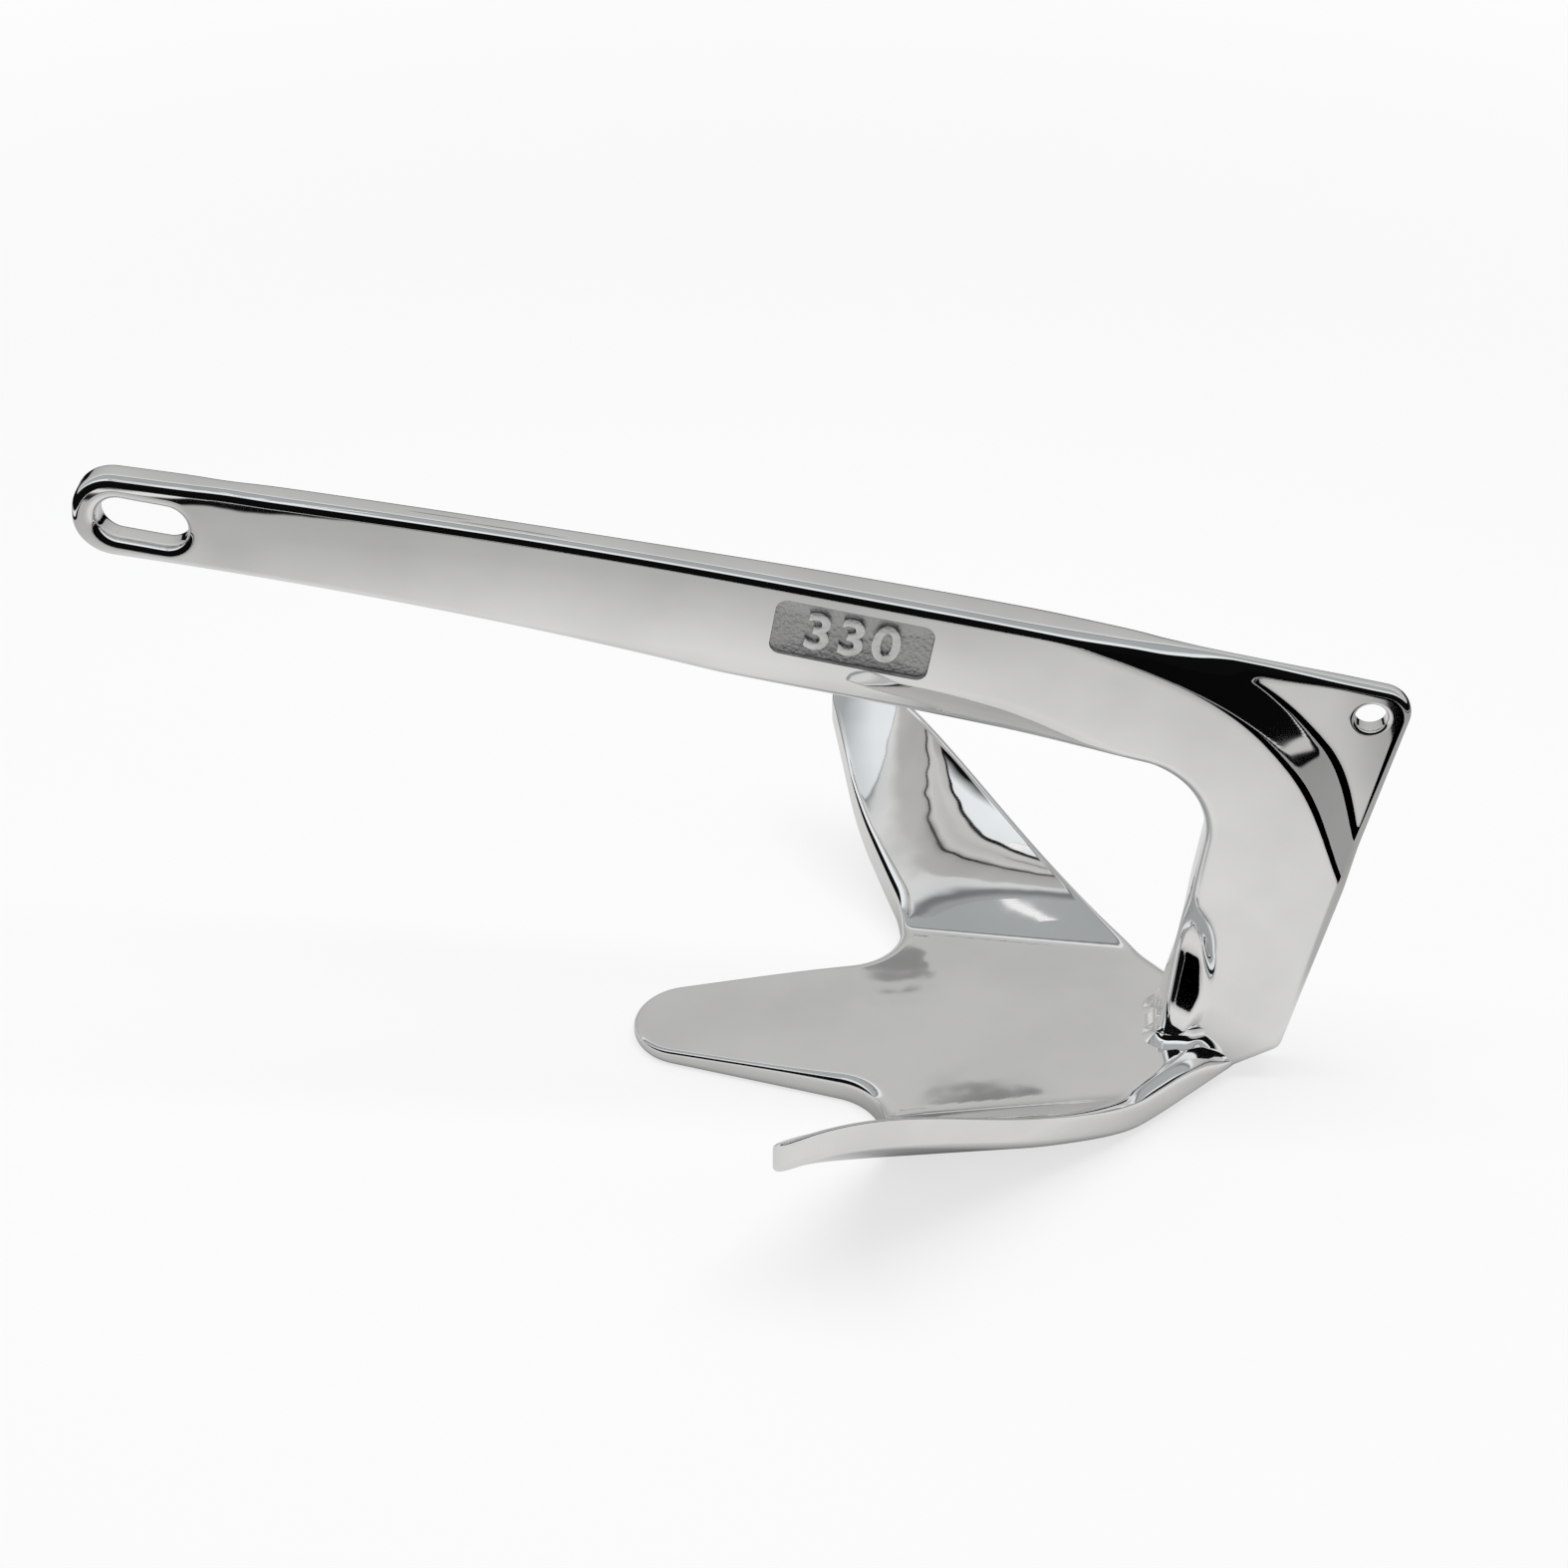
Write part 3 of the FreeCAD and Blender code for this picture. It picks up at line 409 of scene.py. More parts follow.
def joined(name, patches, mirrored):
    """Patches made one closed mesh; mirrored adds its other half past the plane Y = 0."""
    deselect()
    for piece in patches:
        piece.select_set(True)
    piece = patches[0]
    bpy.context.view_layer.objects.active = piece
    bpy.ops.object.join()
    piece.name = name
    if mirrored:
        mirror = piece.modifiers.new("mirror", "MIRROR")
        mirror.use_axis = (False, True, False)
        mirror.use_mirror_merge = True
        mirror.merge_threshold = SEAM
        bpy.ops.object.modifier_apply(modifier=mirror.name)
    closed_up(piece)
    return piece


def rim(places, outs, width, depth, half_of):
    """Rows of a rounded rim, from the face over the edge to the middle plane."""
    rows = []
    for i in range(QUARTER_CELLS + 1):
        angle = math.pi / 2 * i / QUARTER_CELLS
        spots = places - outs * (width * (1 - math.sin(angle)))[:, None]
        rows.append(lifted(spots, half_of(spots) - depth * (1 - math.cos(angle))))
    rows.append(lifted(places, np.zeros(len(places))))
    return np.array(rows)


def ruled(low, high, cells, half_of):
    """Rows of points from one line of places to another."""
    shares = np.linspace(0, 1, cells + 1)[:, None, None]
    spots = low * (1 - shares) + high * shares
    return lifted(spots, half_of(spots))


def stadium(spots):
    """Nearest place on the slot's core line, and the way out of the slot, for each place."""
    along = np.array((math.cos(SLOT_TILT), -math.sin(SLOT_TILT)))
    reach = (SLOT_LENGTH - SLOT_WIDTH) / 2
    run = np.clip((spots - SLOT_CENTRE) @ along, -reach, reach)
    core = np.array(SLOT_CENTRE) + run[:, None] * along
    way = spots - core
    return core, way / np.linalg.norm(way, axis=1)[:, None]


def towards(spots, centre, reached):
    """Places on the way from a centre to spots at which a test is reached."""
    low, high = np.zeros(len(spots)), np.ones(len(spots))
    for i in range(SEARCHES):
        middle = (low + high) / 2
        tried = centre + (spots - centre) * middle[:, None]
        past = reached(tried)
        high = np.where(past, middle, high)
        low = np.where(past, low, middle)
    return centre + (spots - centre) * ((low + high) / 2)[:, None]


def plate_marks():
    """Matched marks along the underside and along the back, from the eye to the arm's foot."""
    lower_edge = side.corner(0, 1.0), side.corner(1, 0.0)
    back_edge = side.corner(6, 1.0), side.corner(7, 0.0)
    rear_edge = side.corner(5, 1.0), side.corner(6, 0.0)
    under_start = side.crossing(lambda place: place[0] < RING_END, *lower_edge)
    back_start = side.crossing(lambda place: place[0] > RING_END, *back_edge)
    back_bend = side.crossing(lambda place: place[0] > BACK_BEND, *back_edge)
    rear_bend = side.crossing(lambda place: place[1] < REAR_BEND, *rear_edge)
    under = spread(under_start, (SHANK_CELLS, side.corner(2, -BEND_LEAD)), (BEND_CELLS, side.corner(2, 0.5)),
                   (BEND_CELLS, side.corner(2, 1 + BEND_LEAD)), (ARM_CELLS, side.corner(3, 0.0)))
    back = spread(back_start, (SHANK_CELLS, back_bend), (BEND_CELLS, side.corner(6, 0.5)),
                  (BEND_CELLS, rear_bend), (ARM_CELLS, side.corner(5, 0.5)))
    return under, back


def plate():
    """Shank, arm and web: both sides, their rounded edges, the slot and the trip-line hole."""
    under_marks, back_marks = plate_marks()
    foot_marks = np.linspace(under_marks[-1], back_marks[-1], ACROSS_CELLS + 1)
    eye_marks = np.linspace(back_marks[0], side.length + under_marks[0], 2 * BEND_CELLS + 1)
    edges = {"under": under_marks, "back": back_marks, "foot": foot_marks, "eye": eye_marks}
    bands = []
    loops = {}
    for name, marks in edges.items():
        places, outs = side.walk(marks)
        width = edge_round(places)
        depth = np.minimum(width, plate_half(places) - LEAST_FLAT)
        loops[name] = places - outs * width[:, None]
        bands.append(patch(rim(places, outs, width, depth, plate_half)))

    shares = np.linspace(0, 1, ACROSS_CELLS + 1)[:, None, None]
    grid = loops["under"] * (1 - shares) + loops["back"] * shares
    # The last columns lead over to the bent edge of the foot
    columns = np.linspace(0, 1, grid.shape[1])
    lead = np.clip((columns - 1 + FOOT_LEAD) / FOOT_LEAD, 0, 1)[None, :, None]
    grid = grid + lead * (loops["foot"] - grid[:, -1])[:, None]
    # A window of cells round the trip-line hole is left out and filled with a ring
    hole = np.array(TRIP_CENTRE)
    off = np.linalg.norm(grid - hole, axis=2)
    near = np.argwhere(off < TRIP_RADIUS + TRIP_ROUND + TRIP_MARGIN)
    (low, left), (high, right) = near.min(axis=0) - 1, near.max(axis=0) + 1
    high = min(high, ACROSS_CELLS)
    parts = (grid[:, :left + 1], grid[:, right:], grid[:low + 1, left:right + 1], grid[high:, left:right + 1])
    for part in parts:
        if part.shape[0] > 1 and part.shape[1] > 1:
            bands.append(patch(lifted(part, plate_half(part))))
    window = np.concatenate([grid[low, left:right], grid[low:high, right],
                             grid[high, right:left:-1], grid[high:low:-1, left]])
    way = window - hole
    way = way / np.linalg.norm(way, axis=1)[:, None]
    lip = hole + way * (TRIP_RADIUS + TRIP_ROUND)
    bands.append(patch(ruled(window, lip, RING_CELLS, plate_half), closed=True))
    size = np.full(len(way), TRIP_ROUND)
    bands.append(patch(rim(hole + way * TRIP_RADIUS, -way, size, size, plate_half), closed=True))

    # The eye is a ring round the slot
    outer = np.concatenate([loops["eye"][:-1], grid[:-1, 0]])
    inner = towards(outer, np.array(SLOT_CENTRE), lambda spots: np.linalg.norm(
        spots - stadium(spots)[0], axis=1) > SLOT_WIDTH / 2 + SLOT_ROUND)
    bands.append(patch(ruled(outer, inner, RING_CELLS, plate_half), closed=True))
    core, way = stadium(inner)
    size = np.linalg.norm(inner - core, axis=1) - SLOT_WIDTH / 2
    bands.append(patch(rim(core + way * SLOT_WIDTH / 2, -way, size, size, plate_half), closed=True))
    return joined("plate", bands, mirrored=True)


def palm_drop(x):
    """How far the palm has turned down behind the arm."""
    return CROWN_DROP * np.clip(x - DROP_START, 0, DROP_RUN) ** 2


def claw_top(spots):
    """Height of the claw's top: palm, then a fold, then a fluke that curls up."""
    x, y = spots[..., 0], np.abs(spots[..., 1])
    share = (x - FOLD_FRONT[0]) / (FOLD_REAR[0] - FOLD_FRONT[0])
    fold = FOLD_FRONT[1] + (FOLD_REAR[1] - FOLD_FRONT[1]) * share
    angle = FOLD_FRONT[2] + (FOLD_REAR[2] - FOLD_FRONT[2]) * share
    height = PALM_HEIGHT + math.tan(PALM_RISE) * x - palm_drop(x)
    run = np.maximum(y - fold + FOLD_WIDTH / 2, 0) / SLOPE_STEPS
    for i in range(SLOPE_STEPS):
        past = (i + 0.5) * run
        slope = angle * smooth(past / FOLD_WIDTH) + CURL_REAR * share * np.maximum(past - FOLD_WIDTH, 0)
        height = height + np.tan(np.radians(slope)) * run
    return height


def claw_thickness(spots):
    """Thickness of the claw: palm, fold and fluke."""
    x, y = spots[..., 0], np.abs(spots[..., 1])
    palm = np.minimum(PALM_HEIGHT + math.tan(PALM_RISE) * x + SOLE_CUT, PALM_THICK) - palm_drop(x)
    outer = FOLD_THICK + (TIP_THICK - FOLD_THICK) * smooth((y - FOLD_END) / (TIP_END - FOLD_END))
    return palm + (outer - palm) * smooth((y - PALM_END) / (FOLD_END - PALM_END))


def claw_points(spots, share):
    """Points under places of the top, at a share of the thickness."""
    height = claw_top(spots) - share * claw_thickness(spots)
    sole = HEEL_SLOPE * np.maximum(spots[..., 0] - HEEL_START, 0)
    across = np.where(np.abs(spots[..., 1]) < SEAM_REACH, 0.0, spots[..., 1])
    return np.stack([spots[..., 0], across, np.maximum(height, sole)], axis=-1)


def coons(bottom, top, left, right):
    """Places between four lines of places that meet at their ends."""
    u = np.linspace(0, 1, len(bottom))[None, :, None]
    v = np.linspace(0, 1, len(left))[:, None, None]
    flat = (1 - v) * bottom[None] + v * top[None] + (1 - u) * left[:, None] + u * right[:, None]
    low = (1 - u) * (1 - v) * bottom[0] + u * (1 - v) * bottom[-1]
    high = (1 - u) * v * top[0] + u * v * top[-1]
    return flat - low - high


def claw():
    """Centre fluke, palm and side flukes: one sheet, over and under, with a rounded rim."""
    # The outline is walked from the nose to the crown, so its outside is on the left
    plan = Outline(PLAN, closed=False)
    nose = plan.corner(0, 1.0)
    notch = plan.corner(1, 0.5)
    tip, tip_rear = plan.corner(3, 0.5), plan.corner(4, 0.5)
    crown = plan.corner(6, 0.5)
    sections = {"nose": np.linspace(0, nose, NOSE_CELLS + 1),
                "flank": spread(nose, (FLANK_CELLS, notch)),
                "brow": spread(notch, (FLUKE_CELLS, tip)),
                "tip": spread(tip, (PALM_CELLS, tip_rear)),
                "rear": spread(tip_rear, (FLUKE_CELLS, crown)),
                "end": np.linspace(crown, plan.length, NOSE_CELLS + 1)}
    bands = []
    insets = {"over": {}, "under": {}}
    notch_place = plan.at(notch)[0]
    for name, marks in sections.items():
        places, outs = plan.walk(marks)
        outs = -outs
        rows = []
        thick = claw_thickness(places)
        off = np.linalg.norm(places - notch_place, axis=1)
        over = RIM_OVER + NOTCH_SOFT * np.exp(-(off / NOTCH_REACH) ** 2)
        over = over + CROWN_SOFT * smooth((places[:, 0] - CROWN_SOFT_START) / CROWN_SOFT_RUN)
        over = np.minimum(over, thick - RIM_UNDER - LEAST_WALL)
        for i in range(QUARTER_CELLS + 1):
            angle = math.pi / 2 * i / QUARTER_CELLS
            spots = places - outs * (over * (1 - math.sin(angle)))[:, None]
            rows.append(claw_points(spots, over / thick * (1 - math.cos(angle))))
        for i in range(1, WALL_CELLS):
            share = over / thick + (1 - (over + RIM_UNDER) / thick) * i / WALL_CELLS
            rows.append(claw_points(places, share))
        for i in range(QUARTER_CELLS, -1, -1):
            angle = math.pi / 2 * i / QUARTER_CELLS
            spots = places - outs * RIM_UNDER * (1 - math.sin(angle))
            rows.append(claw_points(spots, 1 - RIM_UNDER / thick * (1 - math.cos(angle))))
        bands.append(patch(np.array(rows)))
        insets["over"][name] = places - outs * over[:, None]
        insets["under"][name] = places - outs * RIM_UNDER
    for face, share in (("over", 0.0), ("under", 1.0)):
        edge = insets[face]
        inner = np.linspace(edge["brow"][0], edge["rear"][-1], PALM_CELLS + 1)
        middle = np.linspace(edge["nose"][0], edge["end"][-1], FLANK_CELLS + PALM_CELLS + 1)
        upper = np.concatenate([edge["flank"], inner[1:]])
        palm = coons(middle, upper, edge["nose"], edge["end"][::-1])
        fluke = coons(inner, edge["tip"], edge["brow"], edge["rear"][::-1])
        for spots in (palm, fluke):
            bands.append(patch(claw_points(spots, np.full(spots.shape[:2], share))))
    return joined("claw", bands, mirrored=True)


def root_fillet():
    """Fillet that leads the arm's sides and front edge into the palm."""
    throat, foot = np.array(SIDE[2][:2]), np.array(SIDE[3][:2])
    lean = (throat[0] - foot[0]) / (throat[1] - foot[1])
    half = BEAM_THICK / 2 - FOOT_BITE
    section = Outline(((0, 0, 0), (0, -half, BEAM_ROUND), (FOOT_END, -half, FOOT_CORNER),
                       (FOOT_END, half, FOOT_CORNER), (0, half, BEAM_ROUND), (0, 0, 0)), closed=False)
    base, out = section.walk(np.linspace(0, section.length, FILLET_AROUND + 1)[:-1])
    behind = base[:, 0]
    start = foot[0] + lean * (PALM_HEIGHT + FOOT_RISE - foot[1])
    swollen = np.stack([start + behind, np.full(len(base), SWELL_END)], axis=-1)
    swell = root_scoop(swollen) * np.abs(out[:, 1])
    fade = 1 - smooth((behind - FOOT_END / 2) / (FOOT_END / 2))
    rows = []
    for height in np.concatenate([[-FOOT_DEPTH], np.linspace(0, FOOT_HEIGHT, FILLET_ROWS)]):
        left = np.clip(1 - height / FOOT_HEIGHT, 0, 1)
        flare = swell + fade * FOOT_SLOPE * FOOT_HEIGHT / 3 * left ** 3
        spots = base + out * flare[:, None]
        x = start + lean * max(height, 0) + spots[:, 0]
        level = claw_top(np.stack([x, spots[:, 1]], axis=-1)) + height
        rows.append(np.stack([x, spots[:, 1], level], axis=-1))
    rows = [np.broadcast_to(rows[0].mean(axis=0), rows[0].shape)] + rows
    rows.append(np.broadcast_to(rows[-1].mean(axis=0), rows[-1].shape))
    return joined("root_fillet", [patch(np.array(rows), closed=True)], mirrored=False)


def add_camera():
    """The photograph's camera."""
    toward = Vector((-math.sin(AZIMUTH) * math.cos(ELEVATION),
                     math.cos(AZIMUTH) * math.cos(ELEVATION), -math.sin(ELEVATION)))
    bpy.ops.object.camera_add(location=TARGET - toward * DISTANCE)
    camera = bpy.context.object
    camera.name = "photo_camera"
    camera.rotation_euler = toward.to_track_quat("-Z", "Y").to_euler()
    camera.data.sensor_width = SENSOR
    camera.data.lens = LENS
    camera.data.clip_end = CLIP_END
    bpy.context.scene.camera = camera


class Nodes:
    """Builds a node tree with short calls."""

    def __init__(self, tree):
        """Nodes go into this tree."""
        self.tree = tree

    def add(self, kind, values=(), **settings):
        """A node: values go to its inputs, or link to them, and settings to the node."""
        node = self.tree.nodes.new(kind)
        for name, value in settings.items():
            setattr(node, name, value)
        for socket, value in dict(values).items():
            if isinstance(value, bpy.types.NodeSocket):
                self.tree.links.new(value, node.inputs[socket])
            else:
                node.inputs[socket].default_value = value
        return node

    def math(self, operation, a, b=0.0, c=0.0):
        """Result of a Math node."""
        return self.add("ShaderNodeMath", {0: a, 1: b, 2: c}, operation=operation).outputs[0]

    def within(self, value, middle, half):
        """1 where a value is less than half from the middle, and 0 elsewhere."""
        off = self.math("ABSOLUTE", self.math("SUBTRACT", value, middle))
        return self.math("LESS_THAN", off, half)

    def ramp(self, factor, stops, eased=True, tint=(1, 1, 1)):
        """Colours from stops of place and level, times a tint."""
        node = self.add("ShaderNodeValToRGB", {"Fac": factor})
        node.color_ramp.interpolation = "EASE" if eased else "LINEAR"
        marks = node.color_ramp.elements
        while len(marks) < len(stops):
            marks.new(0.5)
        for mark, (place, level) in zip(marks, stops):
            mark.position = place
            mark.color = (level * tint[0], level * tint[1], level * tint[2], 1)
        return node.outputs["Color"]

    def mix(self, factor, a, b):
        """Mix of two colours, each a socket, a colour or a grey."""
        node = self.add("ShaderNodeMix", data_type="RGBA")
        for index, value in ((0, factor), (6, a), (7, b)):
            if isinstance(value, bpy.types.NodeSocket):
                self.tree.links.new(value, node.inputs[index])
            elif index == 0:
                node.inputs[0].default_value = value
            elif isinstance(value, tuple):
                node.inputs[index].default_value = (*value, 1)
            else:
                node.inputs[index].default_value = (value, value, value, 1)
        return node.outputs[2]


def studio_world():
    """A soft studio: bright overhead, grey backdrop behind, dark room behind the camera."""
    world = bpy.data.worlds.new("studio")
    bpy.context.scene.world = world
    world.use_nodes = True
    tree = world.node_tree
    tree.nodes.clear()
    make = Nodes(tree)
    spot = make.add("ShaderNodeTexCoord").outputs["Generated"]
    axes = make.add("ShaderNodeSeparateXYZ", {0: spot})
    angle = make.math("ARCTAN2", axes.outputs["Z"], make.math("MULTIPLY", axes.outputs["Y"], -1.0))
    turn = make.math("DIVIDE", angle, math.pi)
    arch = make.ramp(turn, ARCH, eased=False)
    path = make.add("ShaderNodeLightPath")
    warm = make.ramp(turn, ((COOL_END, 0.0), (WARM_START, 1.0)))
    hue = make.mix(warm, COOL, 1.0)
    lit = make.add("ShaderNodeVectorMath", {0: arch, 1: hue}, operation="MULTIPLY").outputs[0]
    seen = make.mix(path.outputs["Is Camera Ray"], lit, 1.0)
    background = make.add("ShaderNodeBackground", {"Color": seen, "Strength": 1.0})
    make.add("ShaderNodeOutputWorld", {"Surface": background.outputs[0]})


def paper_floor():
    """Pale paper which keeps a faint shadow of the object; the metal mirrors a painted pool of light on it,
    brightest round the object, with painted shade and a painted dark patch.
    """
    bpy.ops.mesh.primitive_plane_add(size=FLOOR_SIZE)
    floor = bpy.context.object
    floor.name = "paper_floor"
    material = bpy.data.materials.new("paper")
    material.use_nodes = True
    tree = material.node_tree
    tree.nodes.clear()
    make = Nodes(tree)
    spot = make.add("ShaderNodeTexCoord").outputs["Object"]
    away = make.add("ShaderNodeVectorMath", {0: spot}, operation="LENGTH").outputs["Value"]
    axes = make.add("ShaderNodeSeparateXYZ", {0: spot})
    # Painted shade: the pool of light is dimmed beyond the object's rear
    dim = make.ramp(axes.outputs["X"], ((DIM_START, 1.0), (DIM_END, POOL_DIM)))
    # Painted pool of light, seen only in the metal, brightest round the object
    pool = make.math("MULTIPLY", make.ramp(away, FLOOR_POOL, eased=False), dim)
    # Painted dark patch in the pool of light, seen only in the metal's reflection
    dark_patch = make.math("MULTIPLY", make.within(axes.outputs["X"], DARK_PATCH_X, DARK_PATCH_WIDE),
                     make.within(axes.outputs["Y"], DARK_PATCH_Y, DARK_PATCH_DEEP))
    pool = make.math("MULTIPLY", pool, make.math("SUBTRACT", 1.0, dark_patch))
    # Painted contact shade: the pool of light darkens close to the object
    contact_shade = make.add("ShaderNodeAmbientOcclusion", {"Distance": CONTACT_REACH}).outputs["AO"]
    pool = make.math("MULTIPLY", pool, contact_shade)
    lit = make.add("ShaderNodeBsdfDiffuse", {"Color": (FLOOR_PALE, FLOOR_PALE, FLOOR_PALE, 1)})
    bright = make.add("ShaderNodeEmission", {"Color": (1, 1, 1, 1)})
    painted_pool_light = make.add("ShaderNodeEmission", {"Color": pool})
    path = make.add("ShaderNodeLightPath")
    shade = make.ramp(away, ((SHADOW_NEAR, SHADOW_SHARE), (SHADOW_FAR, 0.0)))
    seen = make.add("ShaderNodeMixShader", {0: shade, 1: bright.outputs[0], 2: lit.outputs[0]})
    # Glossy rays see the painted pool of light; other rays that are not from the camera see the lit paper
    mirrored = make.add("ShaderNodeMixShader", {0: path.outputs["Is Glossy Ray"], 1: lit.outputs[0],
                                                2: painted_pool_light.outputs[0]})
    shown = make.add("ShaderNodeMixShader", {0: path.outputs["Is Camera Ray"], 1: mirrored.outputs[0],
                                             2: seen.outputs[0]})
    make.add("ShaderNodeOutputMaterial", {"Surface": shown.outputs[0]})
    floor.data.materials.append(material)


def soft_light():
    """A soft lamp overhead, which the metal doesn't mirror."""
    bpy.ops.object.light_add(type="AREA", location=LAMP_PLACE)
    lamp = bpy.context.object
    lamp.name = "overhead"
    lamp.rotation_euler = (-Vector(LAMP_PLACE)).to_track_quat("-Z", "Y").to_euler()
    lamp.data.shape = "RECTANGLE"
    lamp.data.size = LAMP_WIDTH
    lamp.data.size_y = LAMP_HEIGHT
    lamp.data.energy = LAMP_POWER
    lamp.visible_glossy = False


def hung(name, width, run, turn, dotted):
    """Hang the new sheet where only the metal sees it: a row of lamps, or a plain grey board."""
    sheet = bpy.context.object
    sheet.name = name
    sheet.scale = (width, run, 1.0)
    sheet.rotation_euler = (0, 0, turn)
    sheet.visible_camera = False
    sheet.visible_diffuse = False
    sheet.visible_shadow = False
    material = bpy.data.materials.new(name)
    material.use_nodes = True
    tree = material.node_tree
    tree.nodes.clear()
    make = Nodes(tree)
    level = BOARD_LEVEL
    if dotted:
        spot = make.add("ShaderNodeTexCoord").outputs["Generated"]
        axes = make.add("ShaderNodeSeparateXYZ", {0: spot})
        wave = make.math("SINE", make.math("MULTIPLY", axes.outputs["Y"], LAMPS_IN_ROW * 2 * math.pi))
        level = make.math("MULTIPLY_ADD", wave, LAMP_SWING * LAMP_LEVEL, LAMP_LEVEL)
    light = make.add("ShaderNodeEmission", {"Strength": level})
    make.add("ShaderNodeOutputMaterial", {"Surface": light.outputs[0]})
    sheet.data.materials.append(material)


def light_box():
    """Rows of lamps and grey boards over and behind the object, which show in the polish."""
    for i, (start, end) in enumerate(STRIPS):
        middle = ((start[0] + end[0]) / 2, (start[1] + end[1]) / 2, STRIP_HEIGHT)
        bpy.ops.mesh.primitive_plane_add(size=1.0, location=middle)
        turn = math.atan2(start[0] - end[0], end[1] - start[1])
        hung("light_strip_%d" % (i + 1), STRIP_WIDTH, math.dist(start, end), turn, True)
    for i, (west, east, south, north) in enumerate(BOARDS):
        middle = ((west + east) / 2, (south + north) / 2, STRIP_HEIGHT)
        bpy.ops.mesh.primitive_circle_add(radius=0.5, fill_type="NGON", location=middle)
        hung("grey_board_%d" % (i + 1), east - west, north - south, 0.0, False)


def cloudy_group():
    """Node group: soft clouds and fine grain over the metal."""
    group = bpy.data.node_groups.new("metal_clouds", "ShaderNodeTree")
    group.interface.new_socket(name="Vector", in_out="INPUT", socket_type="NodeSocketVector")
    for name, way in (("Cloud Size", "INPUT"), ("Grain Size", "INPUT"),
                      ("Clouds", "OUTPUT"), ("Grain", "OUTPUT")):
        group.interface.new_socket(name=name, in_out=way, socket_type="NodeSocketFloat")
    make = Nodes(group)
    given = make.add("NodeGroupInput")
    clouds = make.add("ShaderNodeTexNoise", {"Vector": given.outputs["Vector"], "Detail": CLOUD_DETAIL,
                                             "Scale": given.outputs["Cloud Size"]})
    grain = make.add("ShaderNodeTexNoise", {"Vector": given.outputs["Vector"], "Detail": GRAIN_DETAIL,
                                            "Scale": given.outputs["Grain Size"]})
    make.add("NodeGroupOutput", {"Clouds": clouds.outputs["Fac"], "Grain": grain.outputs["Fac"]})
    return group


def metal(name, group):
    """Stainless steel in one of its finishes."""
    cloud, grain, light, rough, source, depth = FINISHES[name]
    material = bpy.data.materials.new(name)
    material.use_nodes = True
    tree = material.node_tree
    tree.nodes.clear()
    make = Nodes(tree)
    spot = make.add("ShaderNodeTexCoord").outputs["Object"]
    clouds = make.add("ShaderNodeGroup", {}, node_tree=group)
    tree.links.new(spot, clouds.inputs["Vector"])
    clouds.inputs["Cloud Size"].default_value = cloud
    clouds.inputs["Grain Size"].default_value = grain
    share = make.ramp(clouds.outputs["Clouds"], tuple(zip(LIGHTER, light)), tint=STEEL_TINT)
    polish = make.ramp(clouds.outputs["Clouds"], tuple(zip(ROUGHER, rough)))
    uneven = make.add("ShaderNodeBump", {"Height": clouds.outputs[source], "Strength": 1.0,
                                         "Distance": depth})
    surface = make.add("ShaderNodeBsdfPrincipled", {"Metallic": 1.0, "Base Color": share, "Roughness": polish,
                                                    "Normal": uneven.outputs[0]})
    make.add("ShaderNodeOutputMaterial", {"Surface": surface.outputs[0]})
    return material


def panel_corner(along, up):
    """A place on the tilted panel, in millimetres of the side view."""
    turn = (math.cos(PANEL_TILT), math.sin(PANEL_TILT))
    return (PANEL_CENTRE[0] + along * turn[0] + up * turn[1],
            PANEL_CENTRE[1] - along * turn[1] + up * turn[0])


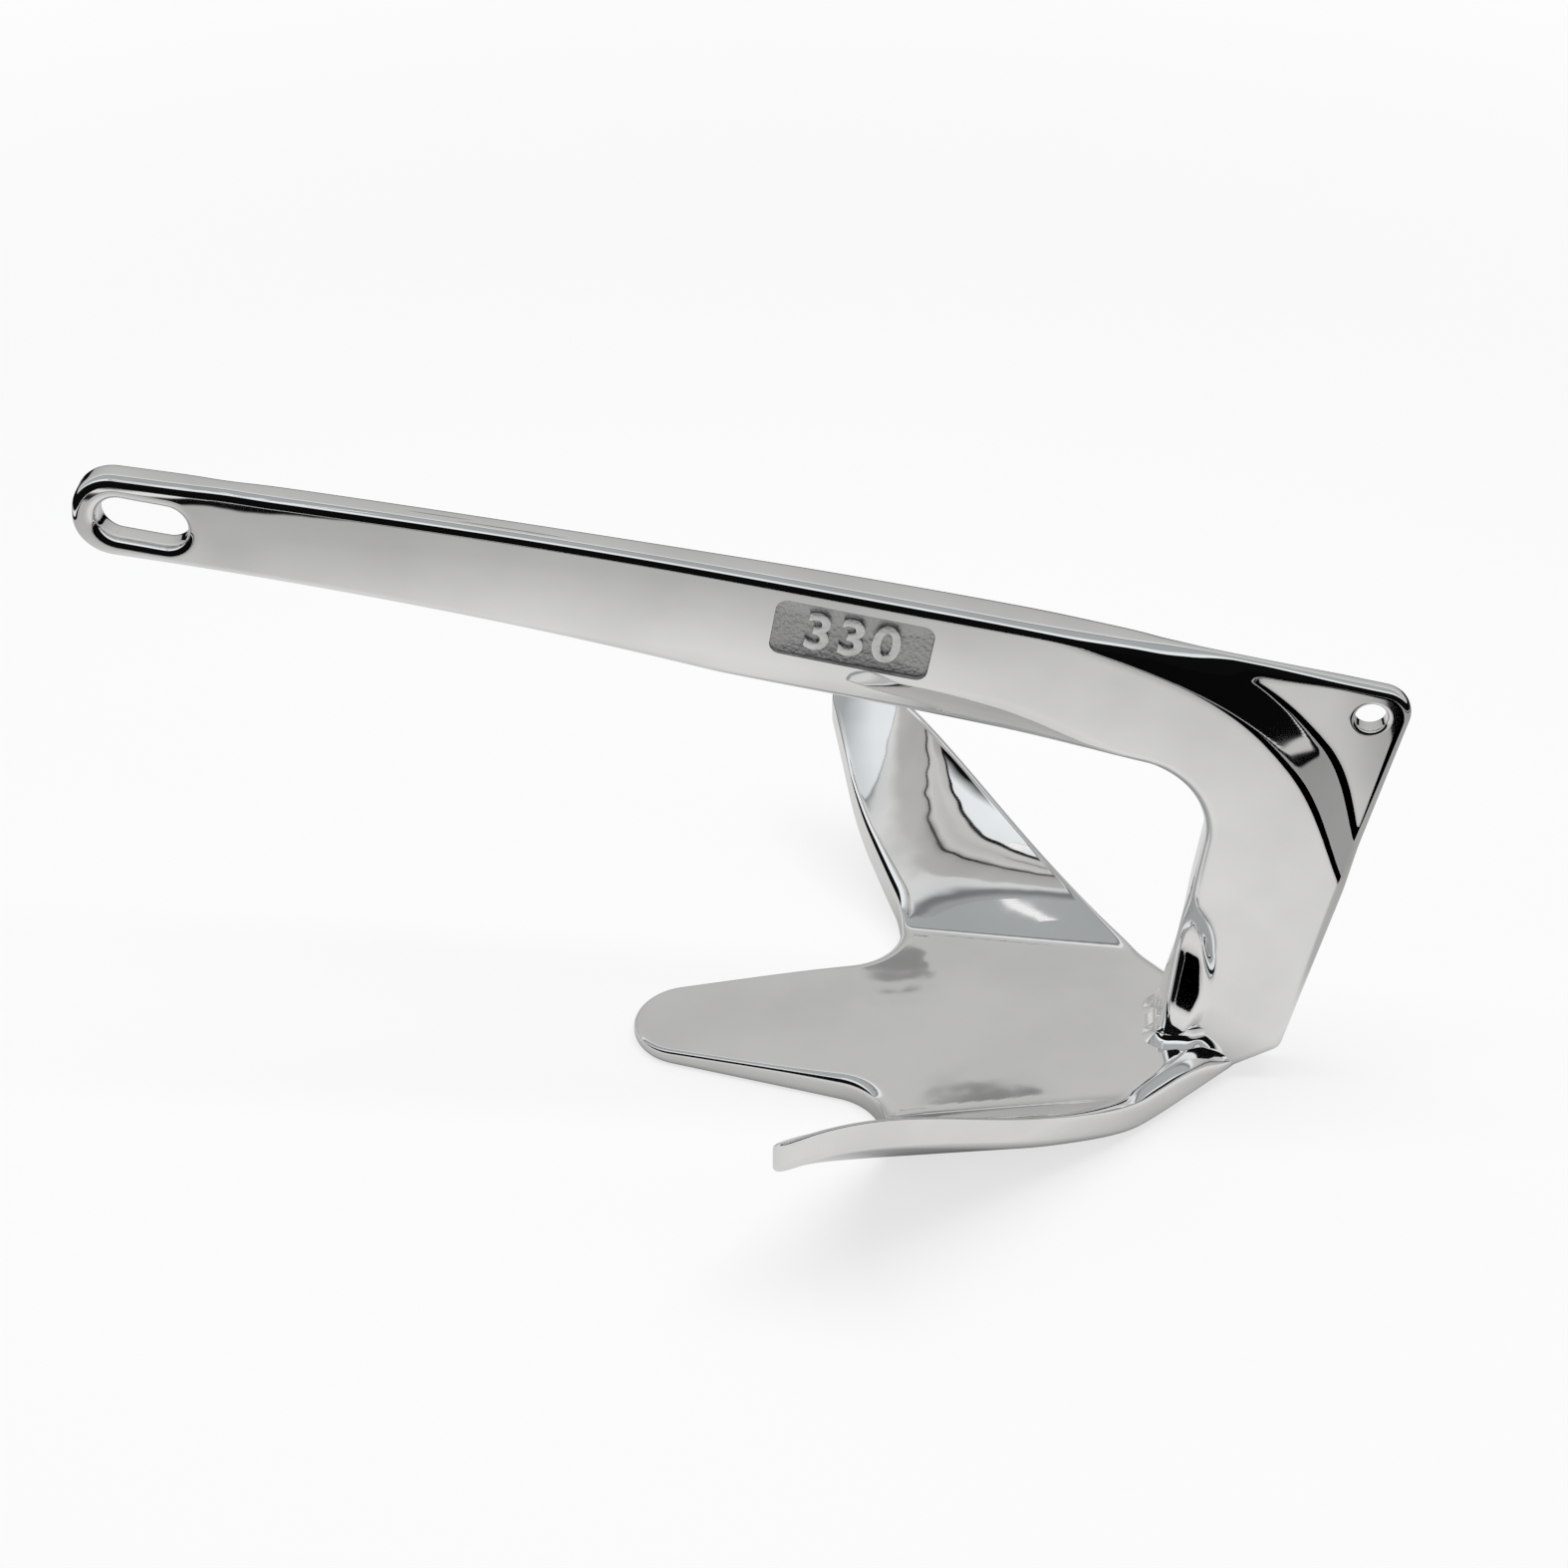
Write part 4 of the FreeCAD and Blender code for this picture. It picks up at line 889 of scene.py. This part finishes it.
def recess_panel(piece, matte):
    """Sink the panel into the right side of the shank, with a matte floor."""
    corners = [panel_corner(along * PANEL_LENGTH / 2, up * PANEL_HEIGHT / 2) + (PANEL_CORNER,)
               for along, up in ((-1, -1), (1, -1), (1, 1), (-1, 1))]
    border = Outline(corners, closed=True)
    places, outs = border.walk(np.linspace(0, border.length, PANEL_AROUND + 1)[:-1])
    centre = np.broadcast_to(np.array(PANEL_CENTRE), places.shape)
    rows = [lifted(centre, np.full(len(places), -PANEL_FLOOR))]
    rows += [lifted(places - outs * inset, np.full(len(places), -PANEL_FLOOR - depth))
             for inset, depth in PANEL_WALL]
    rows.append(lifted(centre, np.full(len(places), -PANEL_FLOOR - PANEL_WALL[-1][1])))
    cutter = joined("panel_cutter", [patch(np.array(rows), closed=True)], mirrored=False)
    cutter.data.materials.append(matte)
    pick(piece)
    cut = piece.modifiers.new("panel", "BOOLEAN")
    cut.operation = "DIFFERENCE"
    cut.solver = "EXACT"
    cut.material_mode = "TRANSFER"
    cut.object = cutter
    bpy.ops.object.modifier_apply(modifier=cut.name)
    bpy.data.objects.remove(cutter)
    closed_up(piece)


def panel_number(material):
    """A plain raised number on the panel."""
    deselect()
    bpy.ops.object.text_add()
    number = bpy.context.object
    number.name = "panel_number"
    number.data.body = NUMBER
    number.data.align_x = "CENTER"
    number.data.align_y = "CENTER"
    number.data.size = NUMBER_SIZE * MM
    number.data.space_character = NUMBER_SPACING
    number.data.offset = NUMBER_WEIGHT * MM
    number.data.extrude = NUMBER_DEPTH * MM
    number.data.bevel_depth = NUMBER_BEVEL * MM
    number.data.bevel_resolution = NUMBER_CELLS
    bpy.ops.object.convert(target="MESH")
    number = bpy.context.object
    sunk = -PANEL_FLOOR - NUMBER_DEPTH / 2
    number.location = Vector((PANEL_CENTRE[0], sunk, PANEL_CENTRE[1])) * MM
    number.rotation_euler = (math.pi / 2, PANEL_TILT, 0)
    bpy.ops.object.transform_apply(location=True, rotation=True, scale=True)
    closed_up(number)
    dressed(number, material, NUMBER_ANGLE)


def dressed(piece, material, angle):
    """Smooth shading, a material, and the piece's place in the frame."""
    pick(piece)
    bpy.ops.object.shade_smooth_by_angle(angle=math.radians(angle))
    if not piece.data.materials:
        piece.data.materials.append(material)
    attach(piece, "root")
    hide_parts("anchor")


add_camera()
studio_world()
paper_floor()
soft_light()
light_box()
clouds = cloudy_group()
polish = metal("mirror_polish", clouds)
matte = metal("cast_matte", clouds)
raised = metal("raised_number", clouds)
shank = plate()
shank.data.materials.append(polish)
recess_panel(shank, matte)
for piece in (shank, claw(), root_fillet()):
    dressed(piece, polish, SMOOTH_ANGLE)
panel_number(raised)

bpy.context.scene.view_settings.view_transform = "Standard"
